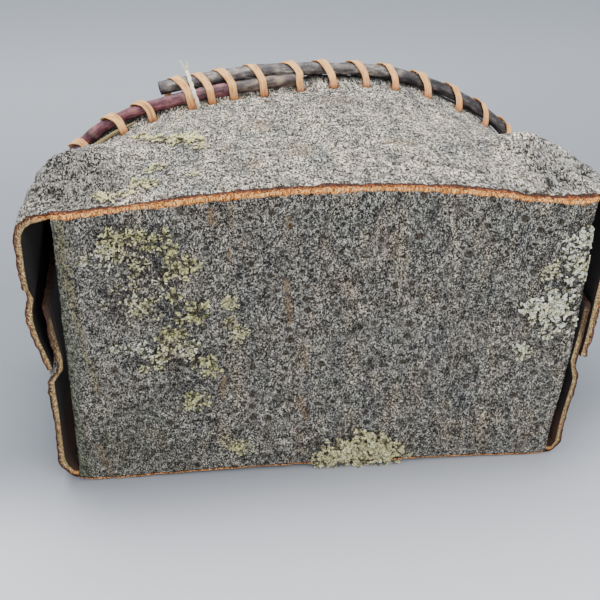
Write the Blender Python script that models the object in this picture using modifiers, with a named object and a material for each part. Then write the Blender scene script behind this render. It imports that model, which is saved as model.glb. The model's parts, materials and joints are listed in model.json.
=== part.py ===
"""Folded bark basket, lying on its side on a flat surface.

One sheet of tree bark is scored twice and folded into a flat bottom panel and
two walls.  The sheet is slit at the ends of the folds, so each wall carries a
side flap past the panel, and the flaps of one wall lap over those of the other.
An overlapped rod hoop lies along the outside of the mouth, with a thin splint
under it at one end, and flat root splints whip it to the bark through holes.

The pieces are drawn in the basket's own frame: x along the folds, y from the
bottom panel (y = 0) to the mouth (y = DEPTH), z across the walls.  The parent
empty then tips that frame so that the lower fold and the lower side of the hoop
both touch the ground plane, as the basket lies on a table.
"""

import math

import bmesh
import bpy
import numpy as np
from mathutils import Matrix, Vector

# ---------------------------------------------------------------- dimensions
MM = 0.001
PANEL_H = 173 * MM          # bottom panel, fold to fold
FOLD_L, FOLD_R = -140 * MM, 142 * MM   # ends of the two folds
DEPTH = 165 * MM            # bottom panel to mouth
BARK_T = 3.8 * MM           # thickness of the bark sheet
FOLD_CUT = 2.4 * MM         # scored bevel along each fold
BOW_TOP = 11.6 * MM         # rise of the upper fold in its middle
BOW_LOW = 2.6 * MM          # rise of the lower fold in its middle
SIDE_TL, SIDE_TR, SIDE_LOW = 159 * MM, 156 * MM, 151 * MM  # half widths at the bottom end
CORNER_TOP = 13.6 * MM
CORNER_LOW_L, CORNER_LOW_R = 20 * MM, 11 * MM
MOUTH_A, MOUTH_B = 166 * MM, 93.5 * MM  # half axes of the oval mouth
MOUTH_X0, MOUTH_Z0 = 4 * MM, 3 * MM
MOUTH_SAG, MOUTH_RISE = -3 * MM, 7 * MM  # the oval's top is low at the left and high at the right
MOUTH_RISE_FROM, MOUTH_RISE_OVER = -30 * MM, 115 * MM
MOUTH_BAND = 12 * MM        # straight band of wall behind the mouth's edge
WALL_A_L, WALL_A_R = 241 * MM, 251 * MM  # upper wall, from its middle to each flap's end
WALL_B_L, WALL_B_R = 262 * MM, 256 * MM  # lower wall, likewise
LAP_GAP = 0.8 * MM          # between lapping flaps at the mouth
LAP_LOOSE_L, LAP_LOOSE_R = 3.2 * MM, 0.5 * MM  # extra gap between them at the bottom end
LAP_BELLY = 1.0 * MM        # and halfway up, where they bow apart
PANEL_BULGE = 3.0 * MM      # of the panel's right edge

# lumps at the shoulders: place round the section, width, depth, length, rise
SHOULDERS_L = ((127 * MM, 33 * MM, 84 * MM, 29 * MM, 9 * MM), (163 * MM, 30 * MM, 76 * MM, 20 * MM, 2 * MM))
SHOULDERS_R = ((125 * MM, 17 * MM, 70 * MM, 19 * MM, 11.5 * MM), (160 * MM, 26 * MM, 40 * MM, 48 * MM, 7.5 * MM))

ROD_R = 3.9 * MM            # hoop rod
ROD_START, ROD_OVERLAP_END = -84 * MM, 4 * MM    # along the mouth from its top
# its middle, as (along, out from the bark, back from the edge) in mm: its upper end, coming down to the bark
ROD_UPPER = ((-84, 12.6, 4.4), (-60, 10.8, 3.2), (-20, 10.6, 3.8), (0, 8.6, 4.8), (15, 8.0, 4.6), (30, 6.8, 4.0), (58, 6.0, 3.0), (80, 5.3, 2.2), (105, 5.2, 1.8), (130, 5.0, 1.2), (165, 4.6, -0.5), (205, 4.6, -3.0))
# and its lower end, counted back from the mouth's top, which stands off the bark at the left
ROD_LOWER = ((-190, 4.6, -3.0), (-150, 5.0, -0.5), (-126, 6.2, 1.5), (-102, 5.8, 0.0), (-85, 4.6, -2.5), (-60, 4.5, -4.5), (-38, 4.5, -4.2), (-17, 4.5, -2.5), (4, 4.5, -3.0))

SPLINT_R = 1.05 * MM
SPLINT_OFF, SPLINT_BACK = 1.55 * MM, -7.75 * MM
SPLINT_FROM, SPLINT_TO = -105 * MM, -250 * MM

STRAP_W, STRAP_T = 4.3 * MM, 1.1 * MM       # flat root splint
HOLE_W, HOLE_H = 5.8 * MM, 2.5 * MM         # awl holes for it
HOLE_BACK = 10.3 * MM                       # hole middle to the bark's edge
STRAP_CLEAR = 0.55 * MM                     # strap to hoop
BARK_CLEAR = 0.90 * MM                      # strap to bark
STRAP_LEAN = 10.5 * MM                      # sideways travel over the hoop
# holes of the upper wall, by their place across the basket, left to right
HOLES_TOP_X = (-132, -110.5, -91.5, -66.3, -52.9, -39.5, -20.2, 3.6, 24.3, 45.9, 64.7, 87.1, 108.5, 127.8, 144.6)
HOLE_PITCH = 21.8 * MM                      # of the rest
TURNS_PER_STRAND = 8
TIE_X, TIE_R, TIE_LEAN = -60.2, 0.95 * MM, 7.6 * MM
TIE_OVER = 3.0 * MM                         # the tie passes over a strap inside

COLLECTION = "bark_basket"


# ---------------------------------------------------------------- small helpers
def smooth(t):
    t = min(1.0, max(0.0, t))
    return t * t * (3 - 2 * t)


def material(name, colour, roughness, metallic=0.0):
    m = bpy.data.materials.new(name)
    m.use_nodes = True
    b = m.node_tree.nodes["Principled BSDF"]
    b.inputs["Base Color"].default_value = (*colour, 1)
    b.inputs["Roughness"].default_value = roughness
    b.inputs["Metallic"].default_value = metallic
    m.diffuse_color = (*colour, 1)
    return m


def bow_top(x):
    half = 150 * MM if x < 15 * MM else 118 * MM
    t = (x - 15 * MM) / half
    return BOW_TOP * max(0.0, 1 - t * t) ** 1.2


def bow_low(x):
    t = x / (132 * MM)
    return BOW_LOW * max(0.0, 1 - t * t) ** 1.3


# ---------------------------------------------------------------- the wall's surface
def outline_at_panel(side):
    """Half of the boxy section at the bottom end, top middle to bottom middle."""
    corner = CORNER_LOW_R if side > 0 else CORNER_LOW_L
    top, low, h = (SIDE_TR if side > 0 else SIDE_TL), SIDE_LOW, PANEL_H / 2
    pts = []
    for i in range(60):
        x = side * (top - CORNER_TOP) * i / 59
        pts.append((x, h + bow_top(x)))
    for i in range(1, 17):
        a = math.pi / 2 * (1 - i / 16)
        pts.append((side * (top - CORNER_TOP + CORNER_TOP * math.cos(a)), h - CORNER_TOP + CORNER_TOP * math.sin(a)))
    z0, z1 = h - CORNER_TOP, -h + corner
    for i in range(1, 30):
        z = z0 + (z1 - z0) * i / 29
        lean = smooth((z + 70 * MM) / (80 * MM)) if side > 0 else smooth((z + 34 * MM) / (90 * MM))
        pts.append((side * (low + (top - low) * lean), z))
    for i in range(1, 17):
        a = -math.pi / 2 * i / 16
        pts.append((side * (low - corner + corner * math.cos(a)), -h + corner + corner * math.sin(a)))
    for i in range(1, 60):
        x = side * (low - corner) * (1 - i / 59)
        pts.append((x, -h + bow_low(x)))
    return np.array(pts)


def outline_at_mouth(side):
    """Half of the oval section at the mouth, top middle to bottom middle."""
    start = math.asin(-MOUTH_X0 / MOUTH_A)
    end = math.pi - start if side > 0 else -math.pi - start
    a = np.linspace(start, end, 240)
    x = MOUTH_X0 + MOUTH_A * np.sin(a)
    t = np.clip((x - MOUTH_RISE_FROM) / MOUTH_RISE_OVER, 0, 1)
    lift = MOUTH_SAG + (MOUTH_RISE - MOUTH_SAG) * t * t * (3 - 2 * t)
    return np.stack([x, MOUTH_Z0 + MOUTH_B * np.cos(a) + lift * np.maximum(0, np.cos(a))], axis=1)


def even(pts, n=400):
    d = np.concatenate([[0], np.cumsum(np.linalg.norm(np.diff(pts, axis=0), axis=1))])
    at = np.linspace(0, d[-1], n)
    return np.stack([np.interp(at, d, pts[:, k]) for k in range(2)], axis=1)


HALVES = {s: (even(outline_at_panel(s)), even(outline_at_mouth(s))) for s in (-1, 1)}


def mouth_share(y):
    t = min(1.0, max(0.0, y / (DEPTH - MOUTH_BAND)))
    return smooth(t ** 1.4)


def section(side, y):
    """The half section at depth y: its points and the length along them."""
    w = mouth_share(y)
    a, b = HALVES[side]
    pts = a * (1 - w) + b * w
    d = np.concatenate([[0], np.cumsum(np.linalg.norm(np.diff(pts, axis=0), axis=1))])
    return pts, d


SECTIONS = {}


def cached(side, y):
    key = (side, round(y, 7))
    if key not in SECTIONS:
        SECTIONS[key] = section(side, y)
    return SECTIONS[key]


def on_section(side, s, y):
    """A point at s along the half section from its top middle, and its outward normal."""
    pts, d = cached(side, y)
    s = min(max(s, 0.0), d[-1])
    x, z = (float(np.interp(s, d, pts[:, k])) for k in range(2))
    e = 1.5 * MM
    s0, s1 = max(0.0, s - e), min(d[-1], s + e)
    t = [float(np.interp(s1, d, pts[:, k]) - np.interp(s0, d, pts[:, k])) for k in range(2)]
    n = Vector((-t[1], t[0])) * side
    n.normalize()
    if s < 2 * e or s > d[-1] - 2 * e:  # the middles are nearly level
        n = Vector((0, 1)) if s < 2 * e else Vector((0, -1))
    return Vector((x, z)), n


def half_length(side, y):
    return float(cached(side, y)[1][-1])


def swell(side, s, y):
    """Lumps that the folded bark keeps at its shoulders."""
    return sum(
        rise * math.exp(-(((s - at) / wide) ** 2) - ((y - deep) / long) ** 2)
        for at, wide, deep, long, rise in (SHOULDERS_R if side > 0 else SHOULDERS_L)
    )


def ripple(s, y, phase):
    fade = smooth((y - 4 * MM) / (30 * MM)) * smooth((DEPTH - 16 * MM - y) / (30 * MM))
    return 0.7 * MM * fade * (math.sin(s * 62 + phase) * math.cos(y * 48 + 1.7 * phase) + 0.6 * math.sin(s * 27 - y * 35 + phase))


def upper_point(s, y):
    """Outer face of the upper wall; s runs left to right from its middle."""
    side = 1 if s >= 0 else -1
    p, n = on_section(side, abs(s), y)
    p = p + n * (swell(side, abs(s), y) + ripple(s, y, 0.4) * (1 - smooth((abs(s) - 0.16) / 0.03)))
    return Vector((p.x, y, p.y))


def lap(side, s_low, y):
    """How far the lower wall lies inside the nominal surface, where a flap laps it."""
    reach = WALL_A_R if side > 0 else WALL_A_L
    under = s_low - (half_length(side, y) - reach)
    loose = LAP_LOOSE_R if side > 0 else LAP_LOOSE_L
    depth = BARK_T + LAP_GAP + loose * (1 - smooth(y / (140 * MM))) + LAP_BELLY * math.sin(math.pi * y / DEPTH)
    return depth * smooth((under + 16 * MM) / (12 * MM))


def lower_point(s, y):
    """Outer face of the lower wall; s runs left to right from its middle."""
    side = 1 if s >= 0 else -1
    length = half_length(side, y)
    p, n = on_section(side, length - abs(s), y)
    p = p - n * lap(side, abs(s), y) + n * ripple(s, y, 2.1) * (1 - smooth((abs(s) - 0.12) / 0.03))
    return Vector((p.x, y, p.y))


# ---------------------------------------------------------------- the bark sheet
def fold_columns(point, lo, hi):
    """Lengths along a wall whose points at y = 0 lie at the fold's two ends, and between."""
    found = []
    for want in (lo, hi):
        a, b = (-0.2, 0.0) if want < 0 else (0.0, 0.2)
        for _ in range(50):
            m = (a + b) / 2
            if point(m, 0.0).x < want:
                a = m
            else:
                b = m
        found.append((a + b) / 2)
    return found


def spread(a, b, n):
    return [a + (b - a) * i / n for i in range(n)]


def wall_columns(left, right, fold):
    lo, hi = fold
    return (
        spread(-left, lo - 34 * MM, 18)
        + spread(lo - 34 * MM, lo, 6)
        + spread(lo, hi, 18)
        + spread(hi, hi + 34 * MM, 6)
        + spread(hi + 34 * MM, right, 18)
        + [right]
    ), 24, 42


def build_bark(mat):
    bm = bmesh.new()
    rows = [FOLD_CUT, 16 * MM, 38 * MM, 62 * MM, 86 * MM, 112 * MM, 136 * MM, DEPTH - MOUTH_BAND, DEPTH]
    grids = []
    for point, left, right in ((upper_point, WALL_A_L, WALL_A_R), (lower_point, WALL_B_L, WALL_B_R)):
        cols, i0, i1 = wall_columns(left, right, fold_columns(point, FOLD_L, FOLD_R))
        grid = []
        for r, y in enumerate(rows):
            line = []
            for c, s in enumerate(cols):
                y_here = y if (r or i0 <= c <= i1) else 0.0
                line.append(bm.verts.new(point(s, y_here)))
            grid.append(line)
        for r in range(len(rows) - 1):
            for c in range(len(cols) - 1):
                quad = [grid[r][c], grid[r][c + 1], grid[r + 1][c + 1], grid[r + 1][c]]
                bm.faces.new(quad if point is upper_point else quad[::-1])
        grids.append((point, grid[0], cols, i0, i1))
    # the panel's corners under each fold's bevel, then the bevels and the panel itself
    edges = []
    for point, line, cols, i0, i1 in grids:
        down = -1 if point is upper_point else 1
        rim = []
        for c in range(i0, i1 + 1):
            p = point(cols[c], 0.0)
            rim.append(bm.verts.new((p.x, 0.0, p.z + down * FOLD_CUT)))
        for k in range(len(rim) - 1):
            quad = [rim[k], rim[k + 1], line[i0 + k + 1], line[i0 + k]]
            bm.faces.new(quad if point is upper_point else quad[::-1])
        edges.append(rim)
    right_edge = []
    for i in range(1, 6):
        t = i / 6
        a, b = edges[0][-1].co, edges[1][-1].co
        p = a.lerp(b, t)
        right_edge.append(bm.verts.new((p.x + PANEL_BULGE * math.sin(math.pi * t) ** 1.3, 0.0, p.z)))
    loop = edges[0][::-1] + edges[1] + right_edge[::-1]
    bm.faces.new(loop)
    bm.normal_update()
    mesh = bpy.data.meshes.new("bark_sheet")
    bm.to_mesh(mesh)
    bm.free()
    obj = bpy.data.objects.new("bark_sheet", mesh)
    mesh.materials.append(mat)
    skin = obj.modifiers.new("thickness", "SOLIDIFY")
    skin.thickness = BARK_T
    skin.offset = -1
    skin.use_even_offset = True
    skin.use_quality_normals = True
    return obj


# ---------------------------------------------------------------- along the mouth
MOUTH_LEN_R, MOUTH_LEN_L = half_length(1, DEPTH), half_length(-1, DEPTH)
MOUTH_LEN = MOUTH_LEN_R + MOUTH_LEN_L


def wrap(g):
    """Length along the mouth from its top, kept between the bottom middle's two sides."""
    while g > MOUTH_LEN_R:
        g -= MOUTH_LEN
    while g < -MOUTH_LEN_L:
        g += MOUTH_LEN
    return g


def mouth_point(g, out, back):
    """A point at g along the mouth, out from the bark's face, and past its edge."""
    g = wrap(g)
    side = 1 if g >= 0 else -1
    p, n = on_section(side, abs(g), DEPTH)
    return Vector((p.x + n.x * out, DEPTH + back, p.y + n.y * out))


def mouth_dirs(g):
    a, b = mouth_point(g - 1 * MM, 0, 0), mouth_point(g + 1 * MM, 0, 0)
    t = (b - a).normalized()
    n = (mouth_point(g, 5 * MM, 0) - mouth_point(g, 0, 0)).normalized()
    return t, n


def bark_depths(g):
    """How far in the outermost face and the innermost face lie at g on the mouth."""
    g = wrap(g)
    side = 1 if g >= 0 else -1
    s_low = half_length(side, DEPTH) - abs(g)
    upper = abs(g) <= (WALL_A_R if side > 0 else WALL_A_L) + 1 * MM
    lower = s_low <= (WALL_B_R if side > 0 else WALL_B_L) + 1 * MM
    inner = 0.0
    outer = 0.0
    if lower:
        inner = lap(side, s_low, DEPTH) + BARK_T
        outer = 0.0 if upper else lap(side, s_low, DEPTH)
    if upper:
        inner = max(inner, BARK_T)
    return outer, inner


def rod_path(g):
    """(out, back) of the hoop rod's middle; g grows past MOUTH_LEN on its lower end."""
    keys = ROD_UPPER
    if g > MOUTH_LEN / 2:
        g, keys = g - MOUTH_LEN, ROD_LOWER
    at = g / MM
    if at <= keys[0][0]:
        return keys[0][1] * MM, keys[0][2] * MM
    for (a, o0, b0), (b, o1, b1) in zip(keys, keys[1:]):
        if at <= b:
            t = 0.5 * (at - a) / (b - a) + 0.5 * smooth((at - a) / (b - a))
            return (o0 + (o1 - o0) * t) * MM, (b0 + (b1 - b0) * t) * MM
    return keys[-1][1] * MM, keys[-1][2] * MM


def rods_at(g):
    """The hoop's one or two passes over place g."""
    g = wrap(g)
    passes = []
    if g >= ROD_START - 3 * MM:
        passes.append(rod_path(g))
    if g < ROD_OVERLAP_END + 3 * MM:
        passes.append(rod_path(g + MOUTH_LEN))
    return passes


def tube(name, points, radii, mat, resolution=2, cyclic=False):
    cu = bpy.data.curves.new(name, "CURVE")
    cu.dimensions = "3D"
    cu.bevel_depth = 1.0
    cu.bevel_resolution = resolution
    cu.use_fill_caps = True
    cu.twist_mode = "MINIMUM"
    sp = cu.splines.new("POLY")
    sp.points.add(len(points) - 1)
    for q, p, r in zip(sp.points, points, radii):
        q.co = (*p, 1)
        q.radius = r
    sp.use_cyclic_u = cyclic
    cu.materials.append(mat)
    return bpy.data.objects.new(name, cu)


def build_rod(mat):
    start, end = ROD_START, MOUTH_LEN + ROD_OVERLAP_END
    n = 96
    pts, radii = [], []
    for i in range(n + 1):
        g = start + (end - start) * i / n
        pts.append(mouth_point(g, *rod_path(g)))
        radii.append(ROD_R * (1 + 0.03 * math.sin(i * 1.9) - 0.05 * smooth((i - 20) / 30) * smooth((70 - i) / 20)))
    radii[-1] *= 0.8
    return tube("rim_rod", pts, radii, mat)


def build_splint(mat):
    n = 24
    pts = [mouth_point(SPLINT_FROM + (SPLINT_TO - SPLINT_FROM) * i / n, SPLINT_OFF, SPLINT_BACK) for i in range(n + 1)]
    radii = [SPLINT_R * (0.55 + 0.45 * smooth(min(i, n - i) / 3)) for i in range(n + 1)]
    return tube("rim_splint", pts, radii, mat, 1)


# ---------------------------------------------------------------- the whipping
def hull(points):
    pts = sorted(set((round(a, 8), round(b, 8)) for a, b in points))

    def half(seq):
        out = []
        for p in seq:
            while len(out) > 1 and (out[-1][0] - out[-2][0]) * (p[1] - out[-2][1]) - (out[-1][1] - out[-2][1]) * (p[0] - out[-2][0]) <= 0:
                out.pop()
            out.append(p)
        return out

    low, up = half(pts), half(pts[::-1])
    return low[:-1] + up[:-1]


def disc(c, r, n=20):
    return [(c[0] + r * math.cos(2 * math.pi * k / n), c[1] + r * math.sin(2 * math.pi * k / n)) for k in range(n)]


def loop_around(g, half_thick, turn=1.25 * MM, steps=18, over=0.0, reach=13 * MM):
    """The tight loop (out, back) that a strap makes at g, from the hole's outer mouth
    over the hoop and the bark's edge to its inner mouth, clear of the bark over its reach."""
    n = 12
    near = [bark_depths(g + 2 * MM - (reach + 5 * MM) * k / n) for k in range(n + 1)]
    outer, inner = min(o for o, _ in near), max(i for _, i in near)
    clear = half_thick + STRAP_CLEAR
    edge = half_thick + BARK_CLEAR
    lip = -HOLE_BACK + HOLE_H / 2
    pts = disc((-outer, lip), turn) + disc((-inner, lip), turn + 0.3 * MM)
    pts += disc((-outer, 0.0), edge) + disc((-inner - over, 0.0), edge) + disc((-inner - over, -6 * MM), edge)
    for along in (1 * MM, 6 * MM, 12 * MM):
        for c in rods_at(g - along):
            pts += disc(c, ROD_R * 1.03 + clear)
            pts += disc((c[0], c[1] + over), ROD_R * 1.03 + clear)
    if wrap(SPLINT_TO) - 4 * MM <= wrap(g) <= SPLINT_FROM + 8 * MM:
        pts += disc((SPLINT_OFF, SPLINT_BACK), SPLINT_R + clear)
    ring = hull(pts)
    # start at the point nearest the outer mouth, and go out over the hoop
    k0 = min(range(len(ring)), key=lambda k: (ring[k][0] - (-outer + 0.2 * turn)) ** 2 + (ring[k][1] - (lip - turn)) ** 2)
    ring = ring[k0:] + ring[:k0]
    if ring[1][0] < ring[0][0]:
        ring = [ring[0]] + ring[1:][::-1]
    k1 = min(range(len(ring)), key=lambda k: (ring[k][0] - (-inner - 0.2 * turn)) ** 2 + (ring[k][1] - (lip - turn)) ** 2)
    ring = ring[: k1 + 1]
    # keep the points where it turns, at an even change of heading and length
    ring = np.array(ring)
    d = np.linalg.norm(np.diff(ring, axis=0), axis=1)
    head = np.unwrap(np.arctan2(np.diff(ring, axis=0)[:, 1], np.diff(ring, axis=0)[:, 0]))
    cost = np.concatenate([[0], np.cumsum(d / (9 * MM) + np.concatenate([[0], np.abs(np.diff(head)) / 0.9]))])
    at = np.linspace(0, cost[-1], steps)
    return [(float(np.interp(t, cost, ring[:, 0])), float(np.interp(t, cost, ring[:, 1]))) for t in at]


def hole_places():
    """Every hole along the mouth, left to right from the bottom middle's left side round the top."""
    places = []
    for x in HOLES_TOP_X:
        side = 1 if x > 0 else -1
        pts, d = cached(side, DEPTH)
        upper = pts[: np.argmax(np.abs(pts[:, 0] - MOUTH_X0))]
        k = int(np.argmin(np.abs(upper[:, 0] - x * MM)))
        places.append(side * float(d[k]))
    first, last = places[0], places[-1]
    rest = MOUTH_LEN - (last - first)
    n = round(rest / HOLE_PITCH)
    hidden = [last + rest * i / n for i in range(1, n)]
    out = []
    for i, g in enumerate(hidden):
        g += 1.4 * MM * math.sin(i * 2.3 + 0.5)
        for edge in (WALL_A_R, half_length(1, DEPTH) - WALL_B_R, MOUTH_LEN - WALL_A_L, MOUTH_LEN - (half_length(-1, DEPTH) - WALL_B_L)):
            if abs(g - edge) < 6.5 * MM:  # not in a flap's very edge
                g = edge + (6.5 * MM if g > edge else -6.5 * MM)
        out.append(g)
    return places + out  # grows to the right, past MOUTH_LEN_R


def ribbon(name, path, mat):
    """A flat strip lofted along (middle, width direction, face direction) stations."""
    bm = bmesh.new()
    last = None
    for p, w, m in path:
        corners = [(-1, -1), (1, -1), (1, 1), (-1, 1)]
        ring = [bm.verts.new(p + w * (a * STRAP_W / 2) + m * (b * STRAP_T / 2)) for a, b in corners]
        if last:
            for k in range(4):
                bm.faces.new([last[k], last[(k + 1) % 4], ring[(k + 1) % 4], ring[k]])
        else:
            bm.faces.new(ring[::-1])
        last = ring
    bm.faces.new(last)
    bmesh.ops.recalc_face_normals(bm, faces=bm.faces)
    mesh = bpy.data.meshes.new(name)
    bm.to_mesh(mesh)
    bm.free()
    mesh.materials.append(mat)
    return bpy.data.objects.new(name, mesh)


def strand_points(holes, first, count):
    """The middle line of one strand in (g, out, back), from the hole `first` leftwards."""
    line = []
    g0 = holes[first]
    _, inner = bark_depths(g0)
    lip = -HOLE_BACK + HOLE_H / 2
    for back, out in ((-17.0, 1.7), (-13.5, 1.5), (-11.4, 1.45)):
        line.append((g0 + 0.2 * MM, -inner - out * MM, back * MM))
    line.append((g0, -inner - 0.9 * MM, -HOLE_BACK - 0.2 * MM))
    for k in range(count):
        g0 = holes[first - k]
        g1 = holes[first - k - 1]
        _, in0 = bark_depths(g0)
        loop = loop_around(g0, STRAP_T / 2, reach=g0 - g1)
        lens = np.concatenate([[0], np.cumsum(np.linalg.norm(np.diff(np.array(loop), axis=0), axis=1))])
        top = int(np.argmax([a + 0.6 * b for a, b in loop]))
        lean = min(STRAP_LEAN, 0.55 * (g0 - g1))
        line.append((g0, -(bark_depths(g0)[0] + in0) / 2, lip - 1.25 * MM))
        for j, (out, back) in enumerate(loop):
            if j <= top:
                g = g0 - lean * max(0.0, (lens[j] - lens[1]) / (lens[top] - lens[1]))
            else:
                t = (lens[j] - lens[top]) / (lens[-2] - lens[top])
                g = g0 - lean - (g0 - g1 - lean) * min(1.0, t)
            line.append((g, out, back))
        if k == count - 1:  # the tail is tucked in behind the edge
            while line and line[-1][2] < -4 * MM:
                line.pop()
    return line


def build_strand(name, holes, first, count, mat):
    line = strand_points(holes, first, count)
    pts = [mouth_point(g, o, b) for g, o, b in line]
    path = []
    for i, p in enumerate(pts):
        a = (p - pts[max(i - 1, 0)]) if i else pts[1] - p
        b = (pts[min(i + 1, len(pts) - 1)] - p) if i < len(pts) - 1 else a
        t = (a.normalized() + b.normalized()).normalized()
        along, _ = mouth_dirs(line[i][0])
        w = (along - t * along.dot(t)).normalized()
        miter = 1 / max(0.6, math.sqrt((1 + a.normalized().dot(b.normalized())) / 2))
        path.append((p, w, t.cross(w) * miter))
    return ribbon(name, path, mat)


def tie_place():
    pts, d = cached(-1, DEPTH)
    upper = pts[: np.argmax(np.abs(pts[:, 0] - MOUTH_X0))]
    return -float(d[int(np.argmin(np.abs(upper[:, 0] - TIE_X * MM)))])


def build_tie(mat):
    g0 = tie_place()
    _, inner = bark_depths(g0)
    loop = loop_around(g0, TIE_R, 1.35 * MM, 22, TIE_OVER)
    loop = loop + [(-inner * 0.5, loop[0][1])]
    lens = np.concatenate([[0], np.cumsum(np.linalg.norm(np.diff(np.array(loop), axis=0), axis=1))])
    top = int(np.argmax([a + 0.6 * b for a, b in loop]))
    pts = []
    for j, (out, back) in enumerate(loop):
        t = lens[j] / lens[top] if j <= top else 1 - (lens[j] - lens[top]) / (lens[-2] - lens[top])
        pts.append(mouth_point(g0 - TIE_LEAN * max(0.0, min(1.0, t)), out, back))
    return tube("pale_tie", pts, [TIE_R] * len(pts), mat, 1, cyclic=True)


def hole_cutter(holes):
    bm = bmesh.new()
    for g in holes + [tie_place()]:
        is_tie = g == tie_place()
        w, h = (3.2 * MM, 3.2 * MM) if is_tie else (HOLE_W, HOLE_H)
        t, n = mouth_dirs(g)
        outer, inner = bark_depths(g)
        mid = mouth_point(g, -(inner) / 2, -HOLE_BACK)
        turn = Matrix((t, Vector((0, 1, 0)), n)).transposed().to_4x4()
        size = Matrix.Diagonal((w, h, inner + 7 * MM, 1))
        bmesh.ops.create_cube(bm, size=1, matrix=Matrix.Translation(mid) @ turn @ size)
    bmesh.ops.recalc_face_normals(bm, faces=bm.faces)
    mesh = bpy.data.meshes.new("awl_holes")
    bm.to_mesh(mesh)
    bm.free()
    obj = bpy.data.objects.new("awl_holes", mesh)
    obj.hide_render = True
    obj.display_type = "WIRE"
    return obj


# ---------------------------------------------------------------- assembly
def lay_down(parent, parts):
    """Tips the basket until the lower fold and the hoop both touch z = 0, and centres it."""
    bpy.context.view_layer.update()
    deps = bpy.context.evaluated_depsgraph_get()
    cloud = []
    for o in parts:
        ev = o.evaluated_get(deps)
        me = ev.to_mesh()
        cloud += [o.matrix_world @ v.co for v in me.vertices]
        ev.to_mesh_clear()
    c = np.array(cloud)
    near, far = c[c[:, 1] < 30 * MM], c[c[:, 1] > 140 * MM]
    tilt = 0.0
    for _ in range(6):
        height = lambda q: q[:, 1] * math.sin(tilt) + q[:, 2] * math.cos(tilt)
        a, b = near[np.argmin(height(near))], far[np.argmin(height(far))]
        tilt = math.atan2(a[2] - b[2], b[1] - a[1])
    spin = np.array([[1, 0, 0], [0, math.cos(tilt), -math.sin(tilt)], [0, math.sin(tilt), math.cos(tilt)]])
    w = c @ spin.T
    lo, hi = w.min(axis=0), w.max(axis=0)
    parent.rotation_euler = (tilt, 0, 0)
    parent.location = (-(lo[0] + hi[0]) / 2, -(lo[1] + hi[1]) / 2, -lo[2])
    bpy.context.view_layer.update()
    print("tilt_deg", round(math.degrees(tilt), 5), "location", [round(v, 7) for v in parent.location], "size", [round(float(v), 5) for v in hi - lo])


def main():
    for o in list(bpy.data.objects):
        bpy.data.objects.remove(o, do_unlink=True)
    parts_col = bpy.data.collections.new(COLLECTION)
    cut_col = bpy.data.collections.new("cutters")
    for c in (parts_col, cut_col):
        bpy.context.scene.collection.children.link(c)
    bark = material("bark_outer", (0.16, 0.16, 0.155), 0.9)
    rod = material("rod_bark", (0.13, 0.08, 0.09), 0.6)
    root = material("root_splint", (0.72, 0.40, 0.20), 0.6)
    pale = material("pale_fibre", (0.75, 0.70, 0.55), 0.8)
    olive = material("splint_wood", (0.45, 0.40, 0.20), 0.7)

    frame = bpy.data.objects.new("basket_frame", None)
    parts_col.objects.link(frame)
    holes = hole_places()
    sheet = build_bark(bark)
    cutter = hole_cutter(holes)
    cut_col.objects.link(cutter)
    cut = sheet.modifiers.new("awl_holes", "BOOLEAN")
    cut.operation = "DIFFERENCE"
    cut.solver = "EXACT"
    cut.object = cutter
    parts = [sheet, build_rod(rod), build_splint(olive), build_tie(pale)]

    # five strands, each picked up where the one before it ends
    count = len(holes)
    per = [TURNS_PER_STRAND] * 4 + [count - 4 * TURNS_PER_STRAND]
    start = count + 6  # in a doubled list, so that every strand can step left
    doubled = holes + [g + MOUTH_LEN for g in holes]
    for k, turns in enumerate(per):
        parts.append(build_strand("lashing_%s" % "abcde"[k], doubled, start, turns, root))
        start -= turns
    for o in parts + [cutter]:
        if o.name not in cut_col.objects:
            parts_col.objects.link(o)
        o.parent = frame
    for o in parts:
        if o.type == "MESH":
            o.data.shade_smooth()
            o.data.set_sharp_from_angle(angle=math.radians(35))
    lay_down(frame, parts)
    print("turns", count, "mouth", round(MOUTH_LEN, 4))


main()
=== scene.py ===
"""The looks of the folded bark basket: bark sheet, lichens, hoop, lashing, tie, floor, light and camera."""

import json
import math

import bmesh
import bpy
import numpy as np
from mathutils import Matrix, Vector


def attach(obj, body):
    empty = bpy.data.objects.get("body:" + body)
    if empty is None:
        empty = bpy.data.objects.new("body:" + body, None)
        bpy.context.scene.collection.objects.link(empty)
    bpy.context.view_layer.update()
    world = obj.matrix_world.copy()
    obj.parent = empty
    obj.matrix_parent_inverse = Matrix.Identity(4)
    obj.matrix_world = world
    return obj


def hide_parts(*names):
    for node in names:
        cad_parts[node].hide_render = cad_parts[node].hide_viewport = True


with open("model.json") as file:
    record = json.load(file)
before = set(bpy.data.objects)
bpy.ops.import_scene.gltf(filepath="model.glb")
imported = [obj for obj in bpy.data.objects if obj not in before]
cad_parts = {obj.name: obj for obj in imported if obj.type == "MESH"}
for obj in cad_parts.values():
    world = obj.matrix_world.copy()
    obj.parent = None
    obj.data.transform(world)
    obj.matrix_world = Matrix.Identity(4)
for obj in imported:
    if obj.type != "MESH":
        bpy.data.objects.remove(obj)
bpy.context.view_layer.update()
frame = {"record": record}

# ------------------------------------------------------------------ the basket's own frame
# x along the folds, y from the bottom panel to the mouth, z across the walls; the record's
# mount on the panel gives where that frame stands and how it is tipped
_mount = next(m for m in frame["record"]["mounts"] if m["name"] == "bottom_panel")
TILT = math.atan2(-_mount["axis"][2], -_mount["axis"][1])
W = Matrix.Translation(_mount["pos_m"]) @ Matrix.Rotation(TILT, 4, "X")
WN = np.array(W)
MM = 0.001

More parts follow.
